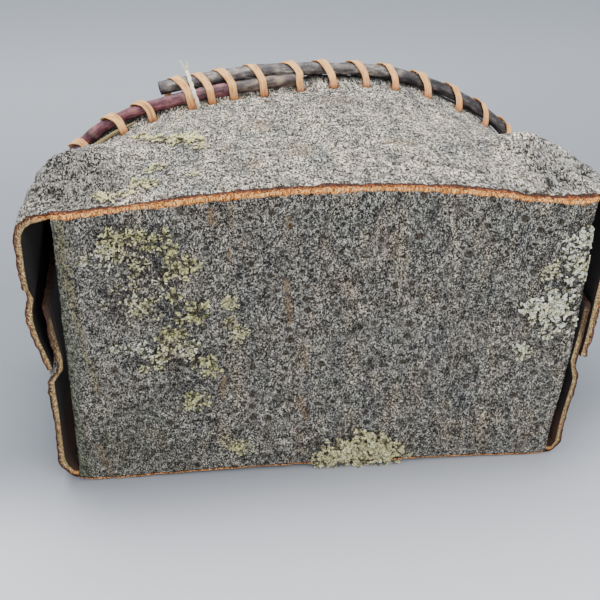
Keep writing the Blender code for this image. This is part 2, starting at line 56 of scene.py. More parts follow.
PANEL_H = 173 * MM
FOLD_L, FOLD_R = -140 * MM, 142 * MM
DEPTH = 165 * MM
BARK_T = 3.8 * MM
FOLD_CUT = 2.4 * MM
BOW_TOP, BOW_LOW = 11.6 * MM, 2.6 * MM
SIDE_TL, SIDE_TR, SIDE_LOW = 159 * MM, 156 * MM, 151 * MM
CORNER_TOP = 13.6 * MM
CORNER_LOW_L, CORNER_LOW_R = 20 * MM, 11 * MM
MOUTH_A, MOUTH_B = 166 * MM, 93.5 * MM
MOUTH_X0, MOUTH_Z0 = 4 * MM, 3 * MM
MOUTH_SAG, MOUTH_RISE = -3 * MM, 7 * MM
MOUTH_RISE_FROM, MOUTH_RISE_OVER = -30 * MM, 115 * MM
MOUTH_BAND = 12 * MM
WALL_A_L, WALL_A_R = 241 * MM, 251 * MM
WALL_B_L, WALL_B_R = 262 * MM, 256 * MM
LAP_GAP = 0.8 * MM
LAP_LOOSE_L, LAP_LOOSE_R = 3.2 * MM, 0.5 * MM
LAP_BELLY = 1.0 * MM
PANEL_BULGE = 3.0 * MM
SHOULDERS_L = ((127, 33, 84, 29, 9), (163, 30, 76, 20, 2))
SHOULDERS_R = ((125, 17, 70, 19, 11.5), (160, 26, 40, 48, 7.5))
ROD_R = 3.9 * MM
ROD_START, ROD_OVERLAP_END = -84 * MM, 4 * MM
ROD_UPPER = ((-84, 12.6, 4.4), (-60, 10.8, 3.2), (-20, 10.6, 3.8), (0, 8.6, 4.8), (15, 8.0, 4.6), (30, 6.8, 4.0), (58, 6.0, 3.0), (80, 5.3, 2.2), (105, 5.2, 1.8), (130, 5.0, 1.2), (165, 4.6, -0.5), (205, 4.6, -3.0))
ROD_LOWER = ((-190, 4.6, -3.0), (-150, 5.0, -0.5), (-126, 6.2, 1.5), (-102, 5.8, 0.0), (-85, 4.6, -2.5), (-60, 4.5, -4.5), (-38, 4.5, -4.2), (-17, 4.5, -2.5), (4, 4.5, -3.0))
SPLINT_R = 1.05 * MM
SPLINT_OFF, SPLINT_BACK = 1.55 * MM, -7.75 * MM
SPLINT_FROM, SPLINT_TO = -105 * MM, -250 * MM
STRAP_W, STRAP_T = 4.3 * MM, 1.1 * MM
HOLE_H = 2.5 * MM
HOLE_BACK = 10.3 * MM
STRAP_CLEAR, BARK_CLEAR = 0.15 * MM, 0.45 * MM
STRAP_LEAN = 8.6 * MM
EDGE_PAST = 4.6 * MM
HOLES_TOP_X = (-132, -110.5, -91.5, -66.3, -52.9, -39.5, -20.2, 3.6, 24.3, 45.9, 64.7, 87.1, 108.5, 127.8, 144.6)
HOLE_PITCH = 21.8 * MM
TURNS_PER_STRAND = 8
TIE_X, TIE_R, TIE_LEAN, TIE_OVER = -62.4, 1.2 * MM, 2.6 * MM, 3.0 * MM


def smooth(t):
    t = np.clip(t, 0.0, 1.0)
    return t * t * (3 - 2 * t)


# ------------------------------------------------------------------ noise on numpy arrays
def lattice(ix, iy, seed):
    n = (ix.astype(np.int64) * 374761393 + iy.astype(np.int64) * 668265263 + seed * 982451653) & 0xFFFFFFFF
    n = ((n ^ (n >> 13)) * 1274126177) & 0xFFFFFFFF
    n = ((n ^ (n >> 16)) * 2246822519) & 0xFFFFFFFF
    return ((n ^ (n >> 15)) & 0xFFFF) / 65535.0


def noise(x, y, seed=0):
    """Smooth value noise, -1 to 1."""
    x, y = np.asarray(x, float), np.asarray(y, float)
    ix, iy = np.floor(x), np.floor(y)
    fx, fy = x - ix, y - iy
    fx, fy = fx * fx * fx * (fx * (fx * 6 - 15) + 10), fy * fy * fy * (fy * (fy * 6 - 15) + 10)
    a, b = lattice(ix, iy, seed), lattice(ix + 1, iy, seed)
    c, d = lattice(ix, iy + 1, seed), lattice(ix + 1, iy + 1, seed)
    return 2 * ((a * (1 - fx) + b * fx) * (1 - fy) + (c * (1 - fx) + d * fx) * fy) - 1


def fbm(x, y, octaves=3, seed=0, gain=0.5):
    total, amp, norm = 0.0, 1.0, 0.0
    for k in range(octaves):
        total = total + amp * noise(x * 2 ** k + 17.3 * k, y * 2 ** k - 9.1 * k, seed + 31 * k)
        norm += amp
        amp *= gain
    return total / norm


def cells(x, y, seed=0):
    """Cellular pattern: distance to the nearest point, to the border, and the cell's number."""
    ix, iy = np.floor(x), np.floor(y)
    f1, f2, own = np.full(x.shape, 9.0), np.full(x.shape, 9.0), np.zeros(x.shape)
    for dx in (-1, 0, 1):
        for dy in (-1, 0, 1):
            cx, cy = ix + dx, iy + dy
            px, py = cx + 0.1 + 0.8 * lattice(cx, cy, seed), cy + 0.1 + 0.8 * lattice(cx, cy, seed + 7)
            d = np.hypot(x - px, y - py)
            tag = lattice(cx, cy, seed + 13)
            nearer = d < f1
            f2 = np.where(nearer, f1, np.minimum(f2, d))
            own = np.where(nearer, tag, own)
            f1 = np.where(nearer, d, f1)
    return f1, f2 - f1, own


# ------------------------------------------------------------------ the walls' smooth surface
def bow_top(x):
    half = 150 * MM if x < 15 * MM else 118 * MM
    t = (x - 15 * MM) / half
    return BOW_TOP * max(0.0, 1 - t * t) ** 1.2


def bow_low(x):
    t = x / (132 * MM)
    return BOW_LOW * max(0.0, 1 - t * t) ** 1.3


def outline_at_panel(side):
    corner = CORNER_LOW_R if side > 0 else CORNER_LOW_L
    top, low, h = (SIDE_TR if side > 0 else SIDE_TL), SIDE_LOW, PANEL_H / 2
    pts = []
    for i in range(60):
        x = side * (top - CORNER_TOP) * i / 59
        pts.append((x, h + bow_top(x)))
    for i in range(1, 17):
        a = math.pi / 2 * (1 - i / 16)
        pts.append((side * (top - CORNER_TOP + CORNER_TOP * math.cos(a)), h - CORNER_TOP + CORNER_TOP * math.sin(a)))
    z0, z1 = h - CORNER_TOP, -h + corner
    for i in range(1, 30):
        z = z0 + (z1 - z0) * i / 29
        lean = smooth((z + 70 * MM) / (80 * MM)) if side > 0 else smooth((z + 34 * MM) / (90 * MM))
        pts.append((side * (low + (top - low) * lean), z))
    for i in range(1, 17):
        a = -math.pi / 2 * i / 16
        pts.append((side * (low - corner + corner * math.cos(a)), -h + corner + corner * math.sin(a)))
    for i in range(1, 60):
        x = side * (low - corner) * (1 - i / 59)
        pts.append((x, -h + bow_low(x)))
    return np.array(pts, float)


def outline_at_mouth(side):
    start = math.asin(-MOUTH_X0 / MOUTH_A)
    end = math.pi - start if side > 0 else -math.pi - start
    a = np.linspace(start, end, 240)
    x = MOUTH_X0 + MOUTH_A * np.sin(a)
    lift = MOUTH_SAG + (MOUTH_RISE - MOUTH_SAG) * smooth((x - MOUTH_RISE_FROM) / MOUTH_RISE_OVER)
    return np.stack([x, MOUTH_Z0 + MOUTH_B * np.cos(a) + lift * np.maximum(0, np.cos(a))], axis=1)


def even(pts, n=400):
    d = np.concatenate([[0], np.cumsum(np.linalg.norm(np.diff(pts, axis=0), axis=1))])
    at = np.linspace(0, d[-1], n)
    return np.stack([np.interp(at, d, pts[:, k]) for k in range(2)], axis=1)


HALVES = {s: (even(outline_at_panel(s)), even(outline_at_mouth(s))) for s in (-1, 1)}
SECTIONS = {}


def cached(side, y):
    key = (side, round(float(y), 7))
    if key not in SECTIONS:
        w = smooth(min(1.0, max(0.0, y / (DEPTH - MOUTH_BAND))) ** 1.4)
        a, b = HALVES[side]
        pts = a * (1 - w) + b * w
        SECTIONS[key] = pts, np.concatenate([[0], np.cumsum(np.linalg.norm(np.diff(pts, axis=0), axis=1))])
    return SECTIONS[key]


def half_length(side, y):
    return float(cached(side, y)[1][-1])


def ring(side, s, y):
    """Points and outward normals at s along the half section at depth y."""
    pts, d = cached(side, y)
    s = np.clip(s, 0.0, d[-1])
    e = 1.5 * MM
    s0, s1 = np.clip(s - e, 0, d[-1]), np.clip(s + e, 0, d[-1])
    p = [np.interp(s, d, pts[:, k]) for k in range(2)]
    t = [np.interp(s1, d, pts[:, k]) - np.interp(s0, d, pts[:, k]) for k in range(2)]
    n = np.stack([-t[1], t[0]], axis=-1) * side
    n /= np.linalg.norm(n, axis=-1, keepdims=True)
    level = (s < 2 * e)[..., None]
    n = np.where(level, np.array([0.0, 1.0]), n)
    level = (s > d[-1] - 2 * e)[..., None]
    n = np.where(level, np.array([0.0, -1.0]), n)
    return np.stack(p, axis=-1), n


def swell(side, s, y):
    out = 0.0
    for at, wide, deep, long, rise in (SHOULDERS_R if side > 0 else SHOULDERS_L):
        out = out + rise * MM * np.exp(-(((s - at * MM) / (wide * MM)) ** 2) - ((y - deep * MM) / (long * MM)) ** 2)
    return out


def ripple(s, y, phase):
    fade = smooth((y - 4 * MM) / (30 * MM)) * smooth((DEPTH - 16 * MM - y) / (30 * MM))
    return 0.7 * MM * fade * (np.sin(s * 62 + phase) * math.cos(y * 48 + 1.7 * phase) + 0.6 * np.sin(s * 27 - y * 35 + phase))


def lap(side, s_low, y):
    reach = WALL_A_R if side > 0 else WALL_A_L
    under = s_low - (half_length(side, y) - reach)
    loose = LAP_LOOSE_R if side > 0 else LAP_LOOSE_L
    depth = BARK_T + LAP_GAP + loose * (1 - smooth(y / (140 * MM))) + LAP_BELLY * math.sin(math.pi * y / DEPTH)
    return depth * smooth((under + 16 * MM) / (12 * MM))


def wall(upper, s, y):
    """Outer face of a wall, and its normals; s runs left to right from the wall's middle."""
    s = np.atleast_1d(np.asarray(s, float))
    P, N = np.zeros((len(s), 3)), np.zeros((len(s), 3))
    for side in (-1, 1):
        m = (s >= 0) if side > 0 else (s < 0)
        if not m.any():
            continue
        a = np.abs(s[m])
        if upper:
            p, n = ring(side, a, y)
            h = swell(side, a, y) + ripple(s[m], y, 0.4) * (1 - smooth((a - 0.16) / 0.03))
        else:
            p, n = ring(side, half_length(side, y) - a, y)
            h = -lap(side, a, y) + ripple(s[m], y, 2.1) * (1 - smooth((a - 0.12) / 0.03))
        p = p + n * h[:, None]
        P[m] = np.stack([p[:, 0], np.full(len(a), y), p[:, 1]], axis=1)
        N[m] = np.stack([n[:, 0], np.zeros(len(a)), n[:, 1]], axis=1)
    return P, N


def fold_ends(upper):
    found = []
    for want in (FOLD_L, FOLD_R):
        a, b = (-0.2, 0.0) if want < 0 else (0.0, 0.2)
        for _ in range(40):
            m = (a + b) / 2
            if wall(upper, [m], 0.0)[0][0, 0] < want:
                a = m
            else:
                b = m
        found.append((a + b) / 2)
    return found


# ------------------------------------------------------------------ camera, at the photograph's viewing angle
def camera_matrix():
    a, e, r = (math.radians(v) for v in (-8.2125, 31.2504, 2.1227))
    d = Vector((-math.sin(a) * math.cos(e), math.cos(a) * math.cos(e), -math.sin(e)))
    right = Vector((math.cos(a), math.sin(a), 0))
    up = right.cross(d)
    R = math.cos(r) * right + math.sin(r) * up
    U = -math.sin(r) * right + math.cos(r) * up
    C = (Vector((-14.5741, 0, 32.2882)) - d * 508.6784) * MM
    return Matrix(((R.x, U.x, -d.x, C.x), (R.y, U.y, -d.y, C.y), (R.z, U.z, -d.z, C.z), (0, 0, 0, 1)))


CAM = camera_matrix()           # in the basket's frame
CAM_INV = np.array(CAM.inverted())
LENS_PX = 950.0


def add_camera():
    cam = bpy.data.cameras.new("camera")
    cam.sensor_width = 36
    cam.lens = 36 * LENS_PX / 600
    cam.clip_start = 0.01
    obj = bpy.data.objects.new("camera", cam)
    bpy.context.scene.collection.objects.link(obj)
    obj.matrix_world = W @ CAM
    bpy.context.scene.camera = obj


def to_frame(P):
    """Where basket-frame points fall in the 600 x 600 view."""
    q = P @ CAM_INV[:3, :3].T + CAM_INV[:3, 3]
    return np.stack([300 + LENS_PX * q[..., 0] / -q[..., 2], 300 - LENS_PX * q[..., 1] / -q[..., 2]], axis=-1)


def to_world(P):
    return P @ WN[:3, :3].T + WN[:3, 3]


# ------------------------------------------------------------------ node materials
class Mat:
    """A small builder for node materials."""

    def __init__(self, name, roughness=0.85, specular=0.3):
        self.m = bpy.data.materials.new(name)
        self.m.use_nodes = True
        self.t = self.m.node_tree
        self.b = self.t.nodes["Principled BSDF"]
        self.b.inputs["Roughness"].default_value = roughness
        self.b.inputs["Specular IOR Level"].default_value = specular

    def node(self, kind, out=0, props=None, **inputs):
        n = self.t.nodes.new(kind)
        for k, v in (props or {}).items():
            setattr(n, k, v)
        for k, v in inputs.items():
            s = n.inputs[int(k[1:])] if k[0] == "i" and k[1:].isdigit() else n.inputs[k]
            self.put(s, v)
        return n.outputs[out]

    def put(self, socket, v):
        if isinstance(v, bpy.types.NodeSocket):
            self.t.links.new(v, socket)
        else:
            if isinstance(v, (tuple, list)) and len(v) == 3 and socket.type == "RGBA":
                v = (*v, 1)
            socket.default_value = v

    def attr(self, name, vector=False):
        return self.node("ShaderNodeAttribute", 1 if vector else 2, {"attribute_name": name, "attribute_type": "GEOMETRY"})

    def noise(self, vec, scale, detail=3, rough=0.55, distortion=0.0):
        return self.node("ShaderNodeTexNoise", 0, None, Vector=vec, Scale=scale, Detail=detail, Roughness=rough, Distortion=distortion)

    def voronoi(self, vec, scale, feature="F1", out=0, randomness=1.0):
        return self.node("ShaderNodeTexVoronoi", out, {"feature": feature}, Vector=vec, Scale=scale, Randomness=randomness)

    def stretch(self, vec, scale, at=(0, 0, 0)):
        return self.node("ShaderNodeMapping", 0, None, Vector=vec, Scale=scale, Location=at)

    def ramp(self, fac, stops, mode="LINEAR"):
        n = self.t.nodes.new("ShaderNodeValToRGB")
        n.color_ramp.interpolation = mode
        els = n.color_ramp.elements
        while len(els) < len(stops):
            els.new(0.5)
        for e, (p, c) in zip(els, stops):
            e.position = p
            e.color = (*c, 1) if isinstance(c, (tuple, list)) else (c, c, c, 1)
        self.put(n.inputs[0], fac)
        return n.outputs[0]

    def step(self, v, lo, hi, a=0.0, b=1.0):
        return self.node("ShaderNodeMapRange", 0, {"interpolation_type": "SMOOTHSTEP"}, i0=v, i1=lo, i2=hi, i3=a, i4=b)

    def mix(self, fac, a, b, mode="MIX"):
        n = self.t.nodes.new("ShaderNodeMix")
        n.data_type, n.blend_type = "RGBA", mode
        self.put(n.inputs[0], fac)
        self.put(n.inputs[6], a)
        self.put(n.inputs[7], b)
        return n.outputs[2]

    def math(self, op, a, b=0.0, c=0.0):
        return self.node("ShaderNodeMath", 0, {"operation": op}, i0=a, i1=b, i2=c)

    def vec(self, op, a, b):
        return self.node("ShaderNodeVectorMath", 0, {"operation": op}, i0=a, i1=b)

    def warp(self, vec, scale, amount):
        """The same place, pushed about by noise."""
        push = self.node("ShaderNodeTexNoise", 1, None, Vector=vec, Scale=scale, Detail=2.0)
        return self.vec("ADD", vec, self.vec("MULTIPLY", self.vec("SUBTRACT", push, (0.5, 0.5, 0.5)), (amount, amount, 0.0)))

    def spots(self, vec, scale, small, large, keep=0.0):
        """Round spots of mixed sizes: 1 inside, and 1 on the ring round each."""
        n = self.t.nodes.new("ShaderNodeTexVoronoi")
        n.voronoi_dimensions = "2D"
        self.put(n.inputs["Vector"], vec)
        self.put(n.inputs["Scale"], scale)
        parts = self.t.nodes.new("ShaderNodeSeparateColor")
        self.t.links.new(n.outputs["Color"], parts.inputs[0])
        pick = self.math("POWER", parts.outputs[0], 1.4)
        ratio = self.math("DIVIDE", n.outputs["Distance"], self.math("ADD", self.math("MULTIPLY", pick, large - small), small))
        there = self.math("GREATER_THAN", parts.outputs[1], keep)
        inside = self.math("MULTIPLY", self.step(ratio, 1.0, 0.62), there)
        ring = self.math("MULTIPLY", self.math("MULTIPLY", self.step(ratio, 0.92, 1.15), self.step(ratio, 1.85, 1.35)), there)
        return inside, ring

    def bump(self, height, strength=0.5, distance=0.001, normal=None):
        kw = {"Height": height, "Strength": strength, "Distance": distance}
        if normal is not None:
            kw["Normal"] = normal
        return self.node("ShaderNodeBump", 0, None, **kw)

    def done(self, colour=None, rough=None, normal=None):
        for name, v in (("Base Color", colour), ("Roughness", rough), ("Normal", normal)):
            if v is not None:
                self.put(self.b.inputs[name], v)
        return self.m


def bark_material():
    m = Mat("bark_outer", 0.88, 0.22)
    sheet = m.attr("sheet", True)      # centimetres along the fold and along the sheet
    walls = m.attr("walls")
    grain = m.stretch(sheet, (1.0, 0.66, 1.0))
    big = m.noise(sheet, 0.30, 3, 0.55)
    mid = m.noise(grain, 1.4, 4, 0.62)
    coarse = m.noise(grain, 4.6, 3, 0.62, 0.5)
    fine = m.noise(grain, 11.5, 4, 0.72, 0.3)
    grit = m.noise(m.stretch(sheet, (1.0, 0.85, 1.0), (5, 3, 0)), 21.0, 2, 0.7)
    patch = m.noise(m.stretch(sheet, (1.0, 0.40, 1.0), (3, 8, 0)), 0.8, 4, 0.6)
    # flakes and specks half a millimetre to two across; colour and bump both come from them
    speck = m.math("ADD", m.math("MULTIPLY", fine, 0.44), m.math("ADD", m.math("MULTIPLY", grit, 0.34), m.math("MULTIPLY", coarse, 0.22)))
    long = m.stretch(sheet, (1.0, 0.46, 1.0), (2, 9, 0))
    broad = m.math("ADD", m.math("MULTIPLY", m.noise(long, 10.0, 3, 0.70), 0.50), m.math("ADD", m.math("MULTIPLY", m.noise(long, 5.0, 3, 0.65), 0.34), m.math("MULTIPLY", fine, 0.16)))
    speck = m.math("ADD", speck, m.math("MULTIPLY", walls, m.math("SUBTRACT", broad, speck)))
    # the panel and the walls are one bark: the panel's darker ramp is painted shade on the face towards the viewer, set
    # against the walls' brighter ramp
    panel = m.ramp(speck, [(0.451, (0.005, 0.005, 0.006)), (0.479, (0.040, 0.040, 0.038)), (0.503, (0.108, 0.103, 0.093)), (0.528, (0.240, 0.228, 0.202)), (0.560, (0.820, 0.785, 0.705))])
    wall_c = m.ramp(speck, [(0.430, (0.024, 0.020, 0.017)), (0.468, (0.148, 0.131, 0.109)), (0.502, (0.310, 0.280, 0.238)), (0.536, (0.560, 0.515, 0.448)), (0.572, (1.0, 0.955, 0.880))])
    c = m.mix(walls, panel, wall_c)
    c = m.mix(1.0, c, m.ramp(mid, [(0.38, (0.55, 0.54, 0.53)), (0.50, (0.98, 0.97, 0.95)), (0.62, (1.36, 1.33, 1.27))]), "MULTIPLY")
    bands = m.noise(m.stretch(sheet, (0.85, 0.13, 1.0), (0, 5, 0)), 1.0, 3, 0.55)
    c = m.mix(1.0, c, m.ramp(bands, [(0.36, (0.84, 0.86, 0.88)), (0.50, (1.0, 0.99, 0.97)), (0.64, (1.14, 1.10, 1.03))]), "MULTIPLY")
    less = m.step(walls, 0.0, 1.0, 1.0, 0.40)
    c = m.mix(m.math("MULTIPLY", m.step(patch, 0.48, 0.62), m.math("MULTIPLY", less, 0.42)), c, m.mix(1.0, c, (1.10, 0.92, 0.76), "MULTIPLY"))
    c = m.mix(m.math("MULTIPLY", m.step(big, 0.48, 0.64), m.math("MULTIPLY", less, 0.45)), c, m.mix(1.0, c, (0.82, 0.92, 0.97), "MULTIPLY"))
    c = m.mix(m.math("MULTIPLY", m.step(m.noise(m.stretch(sheet, (0.9, 0.55, 1.0), (4, 1, 0)), 0.55, 3, 0.6), 0.44, 0.60), m.math("MULTIPLY", walls, 0.85)), c, m.mix(1.0, c, (0.62, 0.66, 0.70), "MULTIPLY"))
    # lenticels: dark sunken middles and pale broken rims, and fine black pinholes
    place = m.warp(sheet, 5.5, 0.24)
    pit1, ring1 = m.spots(m.stretch(place, (1.0, 1.12, 1.0)), 1.05, 0.05, 0.30, 0.58)
    pit2, ring2 = m.spots(m.warp(sheet, 9.0, 0.10), 2.6, 0.04, 0.20, 0.45)
    c = m.mix(m.math("MULTIPLY", m.math("MULTIPLY", ring1, m.step(fine, 0.44, 0.54)), m.step(walls, 0.9, 0.1, 0.25, 0.75)), c, (0.430, 0.412, 0.360))
    c = m.mix(m.math("MULTIPLY", pit1, m.step(walls, 0.9, 0.1, 0.72, 0.90)), c, m.ramp(fine, [(0.42, (0.010, 0.008, 0.006)), (0.60, (0.105, 0.078, 0.050))]))
    c = m.mix(m.math("MULTIPLY", pit2, 0.50), c, (0.020, 0.018, 0.016))
    # places set one by one: margins, scars, pores, shoulders, cracks
    green = m.ramp(speck, [(0.44, (0.018, 0.022, 0.014)), (0.50, (0.082, 0.096, 0.058)), (0.57, (0.260, 0.280, 0.195))])
    c = m.mix(m.attr("green"), c, green)
    olive = m.ramp(speck, [(0.45, (0.044, 0.032, 0.010)), (0.51, (0.185, 0.150, 0.050)), (0.56, (0.400, 0.345, 0.150))])
    c = m.mix(m.math("MULTIPLY", m.attr("olive"), m.step(coarse, 0.42, 0.54)), c, olive)
    tan = m.ramp(fine, [(0.36, (0.080, 0.042, 0.019)), (0.50, (0.240, 0.148, 0.075)), (0.62, (0.460, 0.310, 0.170))])
    c = m.mix(m.math("MULTIPLY", m.attr("scar"), m.step(coarse, 0.36, 0.52)), c, tan)
    rough_dark = m.ramp(speck, [(0.458, (0.004, 0.004, 0.004)), (0.495, (0.052, 0.046, 0.039)), (0.538, (0.640, 0.595, 0.525))])
    c = m.mix(m.math("MULTIPLY", m.attr("rough"), 0.88), c, rough_dark)
    craze = m.noise(m.warp(sheet, 3.0, 0.25), 3.4, 3, 0.62)
    craze = m.step(m.math("ABSOLUTE", m.math("SUBTRACT", craze, 0.5)), 0.030, 0.006)
    craze = m.math("MULTIPLY", craze, m.step(m.attr("rough"), 0.10, 0.55))
    c = m.mix(m.math("MULTIPLY", craze, 0.92), c, (0.006, 0.006, 0.006))
    # raised flakes of the rough shoulders: pale flaking bark, lightened further as a painted highlight
    c = m.mix(m.math("MULTIPLY", m.attr("flake_highlight"), 0.75), c, m.ramp(fine, [(0.42, (0.110, 0.098, 0.083)), (0.56, (0.760, 0.725, 0.655))]))
    # painted shade: nearly black in the deep crevices of the rough shoulders
    c = m.mix(m.attr("gap"), c, (0.006, 0.006, 0.006))
    # painted shade: nearly black under the lichen beds and over a few wider patches, where the under attribute is set
    c = m.mix(m.math("MULTIPLY", m.attr("under"), m.step(coarse, 0.60, 0.48, 0.35, 0.9)), c, m.ramp(speck, [(0.46, (0.004, 0.004, 0.005)), (0.55, (0.062, 0.052, 0.044))]))
    c = m.mix(m.math("MULTIPLY", m.attr("rim"), 0.45), c, (0.340, 0.327, 0.290))
    c = m.mix(m.math("MULTIPLY", m.attr("pore"), 0.88), c, (0.026, 0.021, 0.014))
    # nearly black at cracks and round the holes, and as painted shade on the mouth's lip below the rods
    c = m.mix(m.attr("crack_and_shade"), c, (0.006, 0.005, 0.005))
    height = m.math("ADD", m.math("MULTIPLY", speck, 3.2), m.math("MULTIPLY", mid, 1.2))
    height = m.math("SUBTRACT", height, m.math("MULTIPLY", pit1, 0.55))
    height = m.math("SUBTRACT", height, m.math("MULTIPLY", pit2, 0.25))
    height = m.math("ADD", height, m.math("MULTIPLY", ring1, 0.22))
    height = m.math("SUBTRACT", height, m.math("MULTIPLY", craze, 0.7))
    return m.done(c, m.step(speck, 0.42, 0.60, 0.96, 0.74), m.bump(height, 1.0, 0.0014))


def torn_material():
    """Cut and torn bark: porous brown outer bark, orange fibrous middle, yellow-tan inner layer."""
    m = Mat("bark_torn", 0.8, 0.22)
    sheet = m.attr("sheet", True)
    deep = m.attr("deep")
    fine = m.noise(sheet, 9.0, 4, 0.65)
    grit = m.noise(sheet, 22.0, 2, 0.6)
    slow = m.noise(sheet, 1.3, 3, 0.6)
    ragged = m.math("ADD", deep, m.math("MULTIPLY", m.math("SUBTRACT", m.noise(sheet, 5.0, 4, 0.65), 0.5), 0.75))
    bright = m.ramp(ragged, [(0.04, (0.030, 0.014, 0.010)), (0.20, (0.150, 0.044, 0.018)), (0.33, (0.470, 0.135, 0.032)), (0.45, (0.900, 0.310, 0.060)), (0.62, (1.0, 0.450, 0.110)), (0.80, (0.780, 0.400, 0.120)), (1.0, (0.400, 0.225, 0.076))])
    dull = m.ramp(ragged, [(0.04, (0.056, 0.040, 0.028)), (0.20, (0.215, 0.116, 0.057)), (0.45, (0.400, 0.225, 0.100)), (0.72, (0.420, 0.292, 0.132)), (0.92, (0.320, 0.247, 0.104)), (1.0, (0.215, 0.163, 0.071))])
    c = m.mix(m.attr("flap"), bright, dull)
    c = m.mix(m.math("MULTIPLY", m.step(slow, 0.54, 0.74), 0.28), c, (0.450, 0.150, 0.045))
    holes = m.noise(sheet, 11.0, 2, 0.6, 0.5)
    c = m.mix(m.math("MULTIPLY", m.step(holes, 0.50, 0.45), m.step(ragged, 0.72, 0.36, 0.50, 0.97)), c, (0.032, 0.013, 0.008))
    # pale fibre specks between the pores, brightened further as a painted highlight
    c = m.mix(m.math("MULTIPLY", m.math("MULTIPLY", m.step(holes, 0.53, 0.61), m.step(ragged, 0.30, 0.52)), 0.72), c, (1.0, 0.760, 0.400))
    # painted shade: torn edges of the hidden flap ends are darkened nearly to black
    c = m.mix(m.math("MULTIPLY", m.attr("dim"), 0.97), c, m.ramp(fine, [(0.42, (0.008, 0.004, 0.004)), (0.60, (0.080, 0.038, 0.022))]))
    n = m.bump(m.math("ADD", m.math("MULTIPLY", holes, 1.4), m.math("MULTIPLY", grit, 0.5)), 1.0, 0.0013)
    return m.done(c, 0.8, n)


def inside_material():
    m = Mat("bark_inner", 0.62, 0.35)
    sheet = m.attr("sheet", True)
    fibre = m.noise(m.stretch(sheet, (5.0, 0.35, 1.0)), 1.6, 5, 0.65)
    slow = m.noise(sheet, 0.35, 4, 0.6)
    c = m.ramp(fibre, [(0.30, (0.060, 0.023, 0.010)), (0.50, (0.135, 0.055, 0.023)), (0.72, (0.230, 0.106, 0.044))])
    c = m.mix(m.step(slow, 0.44, 0.64), c, m.ramp(fibre, [(0.30, (0.036, 0.017, 0.010)), (0.70, (0.114, 0.053, 0.027))]))
    spots = m.voronoi(m.stretch(sheet, (1.0, 1.8, 1.0)), 1.1)
    c = m.mix(m.math("MULTIPLY", m.step(spots, 0.16, 0.09), 0.6), c, (0.030, 0.014, 0.008))
    # painted shade: the flaps' undersides, between walls and panel, are coloured nearly black
    c = m.mix(m.math("MULTIPLY", m.attr("dim"), 0.95), c, (0.003, 0.003, 0.004))
    return m.done(c, m.step(m.attr("dim"), 0.0, 1.0, 0.62, 0.95), m.bump(fibre, 0.5, 0.0012))


def lichen_material():
    m = Mat("lichen", 0.9, 0.12)
    co = m.node("ShaderNodeTexCoord", 3)
    tone, tip = m.attr("tone"), m.attr("tip")
    fine = m.noise(co, 1100.0, 3, 0.6)
    mid = m.noise(co, 330.0, 3, 0.6)
    yellow = m.ramp(fine, [(0.39, (0.095, 0.090, 0.032)), (0.50, (0.265, 0.258, 0.098)), (0.61, (0.580, 0.560, 0.270))])
    khaki = m.ramp(fine, [(0.39, (0.100, 0.085, 0.048)), (0.50, (0.300, 0.268, 0.156)), (0.61, (0.640, 0.585, 0.380))])
    white = m.ramp(fine, [(0.36, (0.210, 0.220, 0.168)), (0.50, (0.540, 0.560, 0.455)), (0.64, (0.940, 0.945, 0.860))])
    c = m.mix(m.step(tone, 0.10, 0.50), yellow, khaki)
    c = m.mix(m.step(tone, 0.55, 0.95), c, white)
    c = m.mix(m.math("MULTIPLY", m.step(mid, 0.50, 0.66), 0.50), c, (0.080, 0.072, 0.043))
    c = m.mix(m.math("MULTIPLY", m.step(tip, 0.55, 0.95), 0.70), c, m.mix(m.step(tone, 0.3, 0.8), (0.880, 0.840, 0.440), (1.0, 0.985, 0.880)))
    c = m.mix(m.step(tip, 0.46, 0.14, 0.0, 0.92), c, (0.022, 0.018, 0.017))
    return m.done(c, 0.9, m.bump(m.math("ADD", fine, mid), 0.7, 0.0006))


def strap_material():
    m = Mat("root_strap", 0.55, 0.4)
    fib = m.attr("along", True)        # millimetres along, share across, strand number
    streak = m.noise(m.stretch(fib, (0.16, 3.2, 1.0)), 1.0, 4, 0.6)
    fine = m.noise(m.stretch(fib, (0.5, 9.0, 1.0)), 1.0, 3, 0.6)
    slow = m.noise(m.stretch(fib, (0.045, 0.4, 1.0)), 1.0, 3, 0.5)
    c = m.ramp(streak, [(0.30, (0.320, 0.118, 0.030)), (0.47, (0.660, 0.310, 0.092)), (0.64, (0.900, 0.540, 0.200))])
    c = m.mix(m.math("MULTIPLY", m.step(slow, 0.46, 0.68), 0.5), c, (0.820, 0.470, 0.165))
    c = m.mix(m.math("MULTIPLY", m.step(slow, 0.46, 0.30), 0.4), c, (0.430, 0.155, 0.062))
    c = m.mix(m.math("MULTIPLY", m.attr("root_end"), 0.60), c, (0.330, 0.078, 0.030))
    c = m.mix(m.math("MULTIPLY", m.attr("edge"), 0.45), c, (0.240, 0.088, 0.033))
    c = m.mix(m.math("MULTIPLY", m.step(fine, 0.42, 0.32), 0.45), c, (0.170, 0.062, 0.025))
    return m.done(c, m.step(streak, 0.3, 0.7, 0.66, 0.46), m.bump(m.math("ADD", streak, fine), 0.45, 0.0007))


